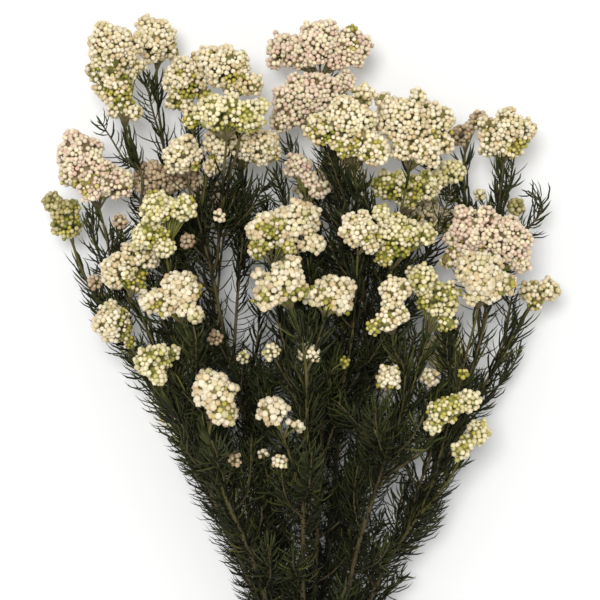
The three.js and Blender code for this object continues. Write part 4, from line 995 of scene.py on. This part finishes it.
# Of a needle at a stem's tip, and how that changes low on the stem: length, breadth, degrees from the stem,
# and degrees that it curls back
NEEDLE_LENGTH, LENGTH_BELOW = 19.5, -5
NEEDLE_BREADTH, BREADTH_BELOW = 1.6, -0.5
NEEDLE_LEAN, LEAN_BELOW = 40, 42
NEEDLE_CURL, CURL_BELOW = 34, 34
NEEDLE_DEPTH = 0.42  # of the keel, beside the breadth
CLEARING_LOSS = 0.8  # the share of the needles that a clearing lacks
CROSSING = 0.05  # the share of the needles that may lie in front of heads

# Side shoots: room between them along a stem, tries for each, room round one, and how one is bent
SHOOT_STEP = 28
SHOOT_TRIES = 12
SHOOT_ROOM = 5.5
SHOOT_HEAD_ROOM = 3
SHOOT_REACH = (30, 56)
SHOOT_LEAN = (40, 58)  # degrees from the stem at its foot
SHOOT_BENDS = np.array([1, 0.75, 0.5, 0.3])  # what is left of that lean in each part

# How far down the view leaves and bark begin to darken, where they are darkest, and how dark
DARKENING_DOWN_VIEW = (400, 580)
DARKEST_DOWN_VIEW = 0.72

# The outline of the foliage in the front view: down, its left and its right edge
OUTLINE = np.array([
    (0, 55, 560), (240, 58, 545), (300, 83, 548), (350, 107, 524), (400, 141, 494), (450, 169, 475),
    (500, 193, 450), (550, 215, 430), (600, 232, 416), (770, 285, 327), (1000, 270, 340),
])
# Clearings in the foliage, seen from the front: across, down and their half widths
CLEARINGS = np.array([
    (218, 262, 13, 36), (234, 318, 10, 26), (483, 332, 18, 34), (150, 125, 12, 26), (112, 140, 9, 18),
    (424, 465, 8, 15), (479, 176, 9, 22), (104, 228, 6, 22), (166, 118, 7, 20), (518, 182, 8, 26),
    (437, 218, 8, 10), (83, 262, 4, 15),
])
# Leafy side shoots in the gaps between heads: what they grow from, where, and their way, as in TWIGS
SIDE_SHOOTS = [
    ("MID", 290, [(298, 245, 68), (288, 212, 64), (276, 172, 60)]),
    ("MID", 330, [(290, 290, 74), (274, 252, 62), (266, 205, 52)]),
    ("A2", 150, [(152, 108, 40), (146, 80, 42)]),
    ("C", 285, [(98, 252, 56), (90, 212, 52)]),
    ("AB", 385, [(503, 345, 46), (512, 296, 42)]),
    ("V", 235, [(508, 190, 52), (514, 160, 50)]),
    ("Q1", 505, [(286, 458, 88), (270, 412, 92), (264, 372, 90)]),
    ("N", 500, [(243, 450, 62), (256, 408, 56), (262, 360, 52)]),
    ("R", 470, [(312, 430, 40), (292, 380, 44)]),
    ("X", 300, [(420, 268, 62), (444, 212, 56), (452, 190, 54)]),
    ("B1", 300, [(224, 238, 52), (240, 190, 48)]),
    ("B1", 425, [(253, 372, 50), (259, 326, 46), (262, 290, 44)]),
    ("N", 590, [(280, 548, 48), (289, 510, 46), (290, 472, 46)]),
    ("R", 590, [(329, 552, 42), (339, 516, 40), (343, 480, 40)]),
]


def cleared(spots, margin):
    """Whether places of the view lie in a clearing."""
    off = (spots[..., None, :] - CLEARINGS[:, :2]) / (CLEARINGS[:, 2:] + margin)
    return ((off ** 2).sum(-1) < 1).any(-1)


def outline_edges(down):
    """Where the foliage begins and ends across the view."""
    return np.interp(down, OUTLINE[:, 0], OUTLINE[:, 1]), np.interp(down, OUTLINE[:, 0], OUTLINE[:, 2])


def in_outline(spots, margin):
    """Whether places of the view lie inside the foliage's outline."""
    left, right = outline_edges(spots[..., 1])
    return (spots[..., 0] > left + margin) & (spots[..., 0] < right - margin)


def outerness(points):
    """How far out in the foliage places lie: 0 on its middle line and about 1 at its surface."""
    across, down = np.moveaxis(seen(points), -1, 0)
    left, right = outline_edges(down)
    half = (right - left) / 2
    middle_height = 54 + 0.12 * np.clip(550 - down, 0, 300)
    half_height = 20 + 0.36 * half * VIEW_STEP
    return np.hypot((across - (left + right) / 2) / half, (points[..., 2] - middle_height) / half_height)


def cover_table():
    """The flower clusters that show in the front view: across, down, radius and height."""
    rows = []
    for name, (_, _, lobes) in HEADS.items():
        if not name.startswith("U") or name == "U":
            rows += [(across, down, radius, HEIGHTS[name] + lift) for across, down, radius, lift in lobes]
    for tube in TUBES:
        if tube.young:
            tip = tube.points[-1]
            rows.append((*seen(tip), tube.young / VIEW_STEP + 1, tip[2]))
    return np.array(rows)


def covers(points, table, part=0.96):
    """Whether places lie in front of a flower cluster, or of the inner part of it."""
    gap = np.linalg.norm(seen(points)[..., None, :] - table[:, :2], axis=-1) - table[:, 2] * part
    return ((gap < 0) & (points[..., 2:3] > table[:, 3] - 4)).any(-1)


def lobe_gaps(points):
    """How far places lie from the surface of each lobe."""
    return np.linalg.norm(points[:, None] - LOBES[None, :, :3], axis=2) - LOBES[None, :, 3]


def grow_shoots(tubes, rng):
    """Short leafy side shoots, too fine for the solids, in the room that the stems and heads leave."""
    wood = np.concatenate([tube.points for tube in tubes])
    shoots = []
    for tube in [tube for tube in tubes if tube.head]:
        length = line_length(tube.points)
        first = CUT_LENGTH + BARE_LENGTH + 4 if tube.parent is None else SHOOT_STEP
        for begin in np.arange(first, length - 34, SHOOT_STEP):
            spot, along = along_line(tube.points, [begin + rng.uniform(-6, 6)])
            at = int(np.linalg.norm(tube.points - spot, axis=1).argmin())
            spot, along = tube.points[at], along[0]
            frame = frames_along([along])[0]
            for _ in range(SHOOT_TRIES):
                turn = rng.uniform(0, 2 * math.pi)
                out = frame[0] * math.cos(turn) + frame[1] * math.sin(turn)
                reach = rng.uniform(*SHOOT_REACH)
                lean = np.radians(rng.uniform(*SHOOT_LEAN)) * SHOOT_BENDS
                steps = along * np.cos(lean)[:, None] + out * np.sin(lean)[:, None]
                steps += rng.normal(0, 0.06, steps.shape)
                points = smooth(np.vstack([spot, spot + np.cumsum(steps * reach / len(steps), 0)]))
                free = points[3:]
                near = np.linalg.norm(free[:, None] - wood[None], axis=2)
                inside = ((free > LOW + 4) & (free < HIGH - 4)).all() and in_outline(seen(free), 16).all()
                inside = inside and not cleared(seen(free), 6).any() and not covers(free, COVERS).any()
                if inside and (near > SHOOT_ROOM).all() and (lobe_gaps(free) > SHOOT_HEAD_ROOM).all():
                    shoots.append(Tube(None, tube.node, None, *THIN_WOOD, points, tube, at))
                    wood = np.concatenate([wood, points])
                    break
    return shoots


def wood_radii(tube, places, length):
    """A stem's radius at distances along it."""
    if tube.parent is None:
        marks = [0, CUT_LENGTH + 12, CUT_LENGTH + BARE_LENGTH + 30, length]
        return np.interp(places, marks, STEM_WOOD)
    thick, thin = BRANCH_WOOD if tube.head else THIN_WOOD
    return thick + (thin - thick) * places / length


def needle_lines(tube, rng):
    """Middle lines of a stem's needles, the ways along and across each, how fresh it is, and its breadth."""
    length = line_length(tube.points)
    first = 5 if tube.parent else CUT_LENGTH + BARE_LENGTH - 6
    last = length - (1.0 if tube.head else 0.0)
    if last <= first:
        return None
    count = int((last - first) / NEEDLE_PITCH)
    places = first + (np.arange(count) + rng.uniform(0, 0.9, count)) * (last - first) / count
    low = np.clip((length - places - 15) / 110, 0, 1) if tube.head else np.full(count, 0.55)
    stays = rng.random(count) < 0.5 + 0.5 * low
    places, low = places[stays], low[stays]
    count = len(places)
    spot, along = along_line(tube.points, places)
    frames = frames_along(along)
    angle = (np.arange(count) * GOLDEN_ANGLE + rng.normal(0, 0.25, count))[:, None]
    out = frames[:, 0] * np.cos(angle) + frames[:, 1] * np.sin(angle)
    side = np.cross(along, out)
    to_tip = length - places
    size = (NEEDLE_LENGTH + LENGTH_BELOW * low) * rng.uniform(0.75, 1.2, count)
    size = size * np.clip(0.6 + to_tip / 50, 0.6, 1)
    breadth = (NEEDLE_BREADTH + BREADTH_BELOW * low) * rng.uniform(0.8, 1.15, count)
    lean = np.radians(rng.normal(0, 11, count) + NEEDLE_LEAN + LEAN_BELOW * low)
    curl = np.radians(rng.normal(0, 16, count) + NEEDLE_CURL + CURL_BELOW * low)
    swing = np.radians(rng.normal(0, 26, count))
    spots = [spot + out * wood_radii(tube, places, length)[:, None] * 0.85]
    directions = []
    for start, stop in zip(NEEDLE_STEPS[:-1], NEEDLE_STEPS[1:]):
        angle = (lean - curl * (start + stop) / 2)[:, None]
        turn = (swing * (start + stop) / 2)[:, None]
        way = along * np.cos(angle) + (out * np.cos(turn) + side * np.sin(turn)) * np.sin(angle)
        directions.append(way)
        spots.append(spots[-1] + way * (size * (stop - start))[:, None])
    lines = np.stack(spots, 1)
    keep = np.ones(count, bool)
    lost = rng.random(count) < CLEARING_LOSS
    crossing = rng.random(count) < CROSSING
    for spot in spots[1:]:
        keep &= (lobe_gaps(spot) > -0.8).all(1)
        keep &= ((spot > LOW - 1) & (spot < HIGH + 1))[:, :2].all(1) & (spot[:, 2] < HIGH[2] + 0.5)
        keep &= in_outline(seen(spot), -6) & ~(cleared(seen(spot), 0) & lost)
        keep &= crossing | ~covers(spot, COVERS, 0.86)
    fresh = np.clip(1 - to_tip / 45, 0, 1) * rng.uniform(0, 1, count)
    return lines[keep], np.stack(directions, 1)[keep], side[keep], fresh[keep], breadth[keep]


def dress_needles(node, seed):
    """The needles of a stem with its branches and twigs: flat above, with a keel below, and painted shade
    that makes them darker inside the foliage.
    """
    rng = np.random.default_rng(seed)
    batch = Batch()
    for tube in TUBES:
        if tube.node != node:
            continue
        found = needle_lines(tube, rng)
        if found is None or not len(found[0]):
            continue
        lines, ways, side, fresh, breadth = found
        count = len(lines)
        lines[:, :, 2] = np.maximum(lines[:, :, 2], 0.75)
        width = breadth[:, None, None] * NEEDLE_WIDTHS[None, :, None]
        under = np.cross(ways, side[:, None])
        tilt = rng.normal(0, 0.5, count)[:, None, None]
        flat = side[:, None] * np.cos(tilt) + under * np.sin(tilt)
        under = under * np.cos(tilt) - side[:, None] * np.sin(tilt)
        rings = lines[:, :3]
        offsets = (-flat * width / 2, flat * width / 2, under * width * NEEDLE_DEPTH)
        corners = np.stack([rings + offset for offset in offsets], 2).reshape(count, 9, 3)
        points = np.concatenate([corners, lines[:, 3:]], 1)
        faces = NEEDLE_FACES[None] + (np.arange(count) * 10)[:, None, None]
        tone = pick(rng, NEEDLE_COLOURS, count) * rng.uniform(0.5, 1.4, (count, 1))
        # Painted shade: needles deep in the foliage are darkened down to 0.35, the outermost lightened up to
        # 1.2.
        tone = tone * (0.35 + 0.85 * np.clip(outerness(lines[:, 1]), 0, 1))[:, None]
        tone = tone * np.interp(seen_down(lines[:, 1]), DARKENING_DOWN_VIEW, (1, DARKEST_DOWN_VIEW))[:, None]
        tone = tone + (NEEDLE_FRESH - tone) * (fresh * 0.7)[:, None]
        shade = np.repeat([0.75, 1.0, 1.05, 1.2], [3, 3, 3, 1])[None, :, None]
        batch.add(points, faces, (tone[:, None] * shade).reshape(-1, 3), 0)
    batch.make(f"needles_{node + 1:02d}", [NEEDLE], "leafy_stem", f"leafy_stem_{node + 1:02d}")


def dress_wood(node, seed):
    """The wood of a stem, its branches and twigs: bark, leaf scars, pale cut end and young clusters."""
    rng = np.random.default_rng(seed)
    batch = Batch()
    for tube in TUBES:
        if tube.node != node:
            continue
        length = line_length(tube.points)
        count = max(4, round(length / (3 if tube.parent is None else 3.5)))
        places = np.linspace(0, length, count)
        middle, along = along_line(tube.points, places)
        sides = 8 if tube.parent is None else 6
        radii = wood_radii(tube, places, length) * rng.uniform(0.94, 1.06, count)
        rings = tube_rings(middle, radii, sides)
        ridge = 1 + 0.05 * rng.normal(0, 1, (count, sides, 1))
        rings = middle[:, None] + (rings - middle[:, None]) * ridge
        rings[:, :, 2] = np.maximum(rings[:, :, 2], 0.05)
        share = (places / length)[:, None, None]
        light = rng.uniform(0, 1, (count, sides, 1)) * 0.5 + 0.35 * share
        tone = BARK + (BARK_LIGHT - BARK) * light
        tone = tone * np.interp(seen_down(rings), DARKENING_DOWN_VIEW, (1, DARKEST_DOWN_VIEW))[..., None]
        if tube.head:
            tone = tone + (STALK_GREEN * 0.45 - tone) * np.clip(share * 3 - 2.2, 0, 1)
        faces = np.concatenate([ring_faces(count, sides), end_faces(count, sides)])
        batch.add(rings, faces, tone.reshape(-1, 3), 0)
        if tube.parent is None:
            add_cut_end(batch, rings[0], middle[0], along[0])
            add_scars(batch, rng, tube, length)
        if tube.young:
            add_young(batch, rng, tube)
    skins = [BARK_SKIN, CUT_WOOD, PAPER, STALK]
    batch.make(f"stem_{node + 1:02d}", skins, "leafy_stem", f"leafy_stem_{node + 1:02d}")


def add_cut_end(batch, rim, middle, along):
    """Pale wood and a brown pith in the cut face."""
    rings = [middle + (rim - middle) * wide - along * out for wide, out in CUT_RINGS]
    points = np.vstack([*rings, middle - along * 0.3])
    sides = len(rim)
    last = len(rings) * sides
    fan = [(last, last - sides + (k + 1) % sides, last - sides + k) for k in range(sides)]
    faces = np.vstack([ring_faces(len(rings), sides)[:, ::-1], fan])
    tones = np.vstack([np.repeat([BARK, BARK_LIGHT, WOOD, PITH], sides, 0), [PITH]])
    batch.add(points, faces, tones, 1)


def add_scars(batch, rng, tube, length):
    """Low scars where leaves were stripped from the lower stem."""
    places = np.arange(4, CUT_LENGTH + BARE_LENGTH, 2.1)
    places = places[np.abs(places - CUT_LENGTH) > 6]
    spot, along = along_line(tube.points, places)
    frames = frames_along(along)
    angle = (np.arange(len(places)) * GOLDEN_ANGLE + rng.normal(0, 0.2, len(places)))[:, None]
    out = frames[:, 0] * np.cos(angle) + frames[:, 1] * np.sin(angle)
    side = np.cross(along, out)
    root = spot + out * (wood_radii(tube, places, length)[:, None] * 0.93)
    points = np.stack([
        root - side * 0.65, root - along * 0.7, root + side * 0.65, root + along * 0.9,
        root + out * 0.42 + along * 0.25,
    ], 1)
    points[:, :, 2] = np.maximum(points[:, :, 2], 0.02)
    faces = np.array([[0, 1, 4], [1, 2, 4], [2, 3, 4], [3, 0, 4], [0, 3, 1], [1, 3, 2]])
    faces = faces[None] + (np.arange(len(places)) * 5)[:, None, None]
    shade = np.array([0.8, 0.8, 0.8, 0.8, 1.5])[None, :, None]
    tones = BARK_LIGHT * shade * rng.uniform(0.7, 1.1, (len(places), 1, 1))
    batch.add(points, faces, tones.reshape(-1, 3), 0)


def add_young(batch, rng, tube):
    """A small cluster of buds at the tip of a twig."""
    tip = tube.points[-1]
    way = unit(tube.points[-1] - tube.points[-2])
    size = YOUNG_SIZE
    reach = tube.young + 0.6
    count = round(4 * math.pi * reach ** 2 / (0.5 * size ** 2))
    ways = even_directions(count, way, rng)
    spots = tip + ways * (reach - size) * rng.uniform(0.85, 1.1, (count, 1))
    spots = spots[ways @ way > -0.6]
    spots = spots[packed(spots, 1.6 * size)[0]]
    sizes = size * rng.uniform(0.75, 1.15, len(spots))
    root = tip - way * reach * 0.7
    axes = unit(spots - root)
    tint = TWIG_TINTS[int(np.linalg.norm(TWIG_TIPS - tip, axis=1).argmin())]
    colours = pick(rng, BUD_COLOURS[tint], len(spots)) * rng.uniform(0.8, 1.05, (len(spots), 1))
    add_buds(batch, rng, SMALL_BUD, spots, axes, sizes, colours, 2)
    roots = np.repeat(root[None], len(spots), 0)
    points, faces = sticks(roots, spots - axes * sizes[:, None] * 0.8, 0.3, 0.26)
    batch.add(points, faces, STALK_GREEN, 3)


def dress_band():
    """One elastic band wound twice, in the dips between the stems, with one turn crossing over the other."""
    turn = np.arange(BAND_STEPS) / BAND_STEPS * 4 * math.pi
    across = -BAND_OFFSET * np.cos(turn / 2)
    over = np.exp(-((turn - math.pi) / 0.42) ** 2) * BAND_CROSSING
    dips = BAND_DIP * (1 - np.cos(OUTER_STEMS * (turn - math.pi / 2)))
    radius = BAND_RADIUS - dips + over
    middle = np.stack([radius * np.cos(turn), across, WAIST_HEIGHT + radius * np.sin(turn)], 1)
    along = unit(np.roll(middle, -1, 0) - np.roll(middle, 1, 0))
    out = unit(np.stack([np.cos(turn), np.zeros(BAND_STEPS), np.sin(turn)], 1))
    side = unit(np.cross(along, out))
    out = np.cross(side, along)
    points = np.stack([middle + side * a + out * b for a, b in BAND_PROFILE], 1)
    index = np.arange(points.shape[0] * points.shape[1]).reshape(points.shape[:2])
    ahead = np.roll(index, -1, 0)
    beside = np.roll(index, -1, 1)
    corner = np.roll(ahead, -1, 1)
    faces = np.concatenate([np.stack([index, ahead, corner], 2), np.stack([index, corner, beside], 2)])
    batch = Batch()
    batch.add(points, faces, linear(BAND_COLOUR), 0)
    batch.make("elastic_band", [RUBBER], "band", "tie_band")


def new_material(name, roughness, specular):
    """A material with its nodes, its links and its shader."""
    material = bpy.data.materials.new(name)
    material.use_nodes = True
    nodes = material.node_tree.nodes
    skin = nodes["Principled BSDF"]
    skin.inputs["Roughness"].default_value = roughness
    skin.inputs["Specular IOR Level"].default_value = specular
    return material, nodes, material.node_tree.links, skin


def add_node(nodes, kind, **values):
    """A node with some of its inputs set; a name's underscores stand for spaces."""
    node = nodes.new("ShaderNode" + kind)
    for name, value in values.items():
        node.inputs[name.replace("_", " ")].default_value = value
    return node


def make_material(name, roughness, grain, speck, bump, stretch=(1, 1, 1), thickness=0.0, specular=0.5):
    """A material with the colour of the piece's points, varied by noise, and a finely bumpy skin."""
    material, nodes, links, skin = new_material(name, roughness, specular)
    if thickness:
        skin.inputs["Subsurface Weight"].default_value = 0.25
        skin.inputs["Subsurface Radius"].default_value = (1.0, 0.75, 0.45)
        skin.inputs["Subsurface Scale"].default_value = thickness
    tone = nodes.new("ShaderNodeAttribute")
    tone.attribute_name = "tone"
    where = nodes.new("ShaderNodeTexCoord")
    mapping = add_node(nodes, "Mapping", Scale=stretch)
    noise = add_node(nodes, "TexNoise", Scale=grain, Detail=4)
    fine = add_node(nodes, "TexNoise", Scale=grain * 2.5, Detail=3)
    share = add_node(nodes, "MapRange", From_Min=0.25, From_Max=0.75, To_Min=1 - speck, To_Max=1 + speck)
    mix = nodes.new("ShaderNodeVectorMath")
    mix.operation = "SCALE"
    relief = add_node(nodes, "Bump", Strength=bump, Distance=0.0004)
    for source, target in [
        (where.outputs["Object"], mapping.inputs["Vector"]),
        (mapping.outputs["Vector"], noise.inputs["Vector"]),
        (noise.outputs["Fac"], share.inputs["Value"]),
        (tone.outputs["Color"], mix.inputs[0]),
        (share.outputs["Result"], mix.inputs["Scale"]),
        (mix.outputs["Vector"], skin.inputs["Base Color"]),
        (mapping.outputs["Vector"], fine.inputs["Vector"]),
        (fine.outputs["Fac"], relief.inputs["Height"]),
        (relief.outputs["Normal"], skin.inputs["Normal"]),
    ]:
        links.new(source, target)
    return material


PAPER = make_material("papery_bracts", 0.48, 900, 0.10, 0.3, thickness=0.001, specular=0.45)
STALK = make_material("green_stalk", 0.6, 500, 0.16, 0.3)
NEEDLE = make_material("needle_leaf", 0.6, 420, 0.22, 0.3, specular=0.22)
BARK_SKIN = make_material("bark", 0.78, 260, 0.30, 0.8, (1, 0.16, 1), specular=0.3)
CUT_WOOD = make_material("cut_wood", 0.85, 700, 0.16, 0.5, specular=0.25)
RUBBER = make_material("natural_rubber", 0.55, 180, 0.08, 0.25, specular=0.4)
LOBES = np.concatenate([tube.head.lobes for tube in TUBES if tube.head])
TWIG_TIPS = np.array([tube.points[-1] for tube in TUBES[-len(TWIGS):]])
COVERS = cover_table()
TUBES.extend([lay_branch(TUBES, None, origin, fork, way) for origin, fork, way in SIDE_SHOOTS])
TUBES.extend(grow_shoots(TUBES, np.random.default_rng(SHOOT_SEED)))

camera_data = bpy.data.cameras.new("camera")
camera_data.lens = 120
camera_data.sensor_width = 36
camera_data.clip_end = 20
camera = add_object("camera", camera_data)
camera.location = (np.array([MIDDLE_X, MIDDLE_Y, VIEW_HEIGHT + EYE_DISTANCE]) + SHIFT) / 1000
bpy.context.scene.camera = camera

for t, tube in enumerate(TUBES):
    if tube.head:
        dress_head(tube.head, HEAD_SEED + t)
for node in range(len(STEMS)):
    dress_needles(node, NEEDLE_SEED + node)
for node in range(len(STEMS)):
    dress_wood(node, WOOD_SEED + node)
dress_band()


def make_floor():
    """A wide pale floor just under the bunch."""
    mesh = bpy.data.meshes.new("floor")
    mesh.from_pydata([(-6, -6, 0), (6, -6, 0), (6, 6, 0), (-6, 6, 0)], [], [(0, 1, 2, 3)])
    floor = add_object("floor", mesh)
    floor.location.z = -0.0002
    material, nodes, links, skin = new_material("pale_floor", 0.9, 0.1)
    noise = add_node(nodes, "TexNoise", Scale=3)
    ramp = nodes.new("ShaderNodeValToRGB")
    ramp.color_ramp.elements[0].color = (0.90, 0.90, 0.895, 1)
    ramp.color_ramp.elements[1].color = (0.93, 0.93, 0.925, 1)
    links.new(noise.outputs["Fac"], ramp.inputs["Fac"])
    links.new(ramp.outputs["Color"], skin.inputs["Base Color"])
    mesh.materials.append(material)


def add_light(name, spot, target, size, power):
    """A round soft light that shines from a spot towards a target."""
    data = bpy.data.lights.new(name, "AREA")
    data.shape = "DISK"
    data.size = size
    data.energy = power
    lamp = add_object(name, data)
    lamp.location = spot
    way = np.array(target) - np.array(spot)
    flat = math.hypot(way[0], way[1])
    lamp.rotation_euler = (math.atan2(flat, -way[2]), 0, math.atan2(-way[0], way[1]))


make_floor()
add_light("key", (-0.16, 0.32, 2.0), (0, 0.05, 0.05), 0.5, 24)
world = bpy.data.worlds.new("studio")
world.use_nodes = True
world.node_tree.nodes["Background"].inputs["Color"].default_value = (1, 1, 1, 1)
world.node_tree.nodes["Background"].inputs["Strength"].default_value = 0.68
bpy.context.scene.world = world
bpy.context.scene.view_settings.view_transform = "Standard"
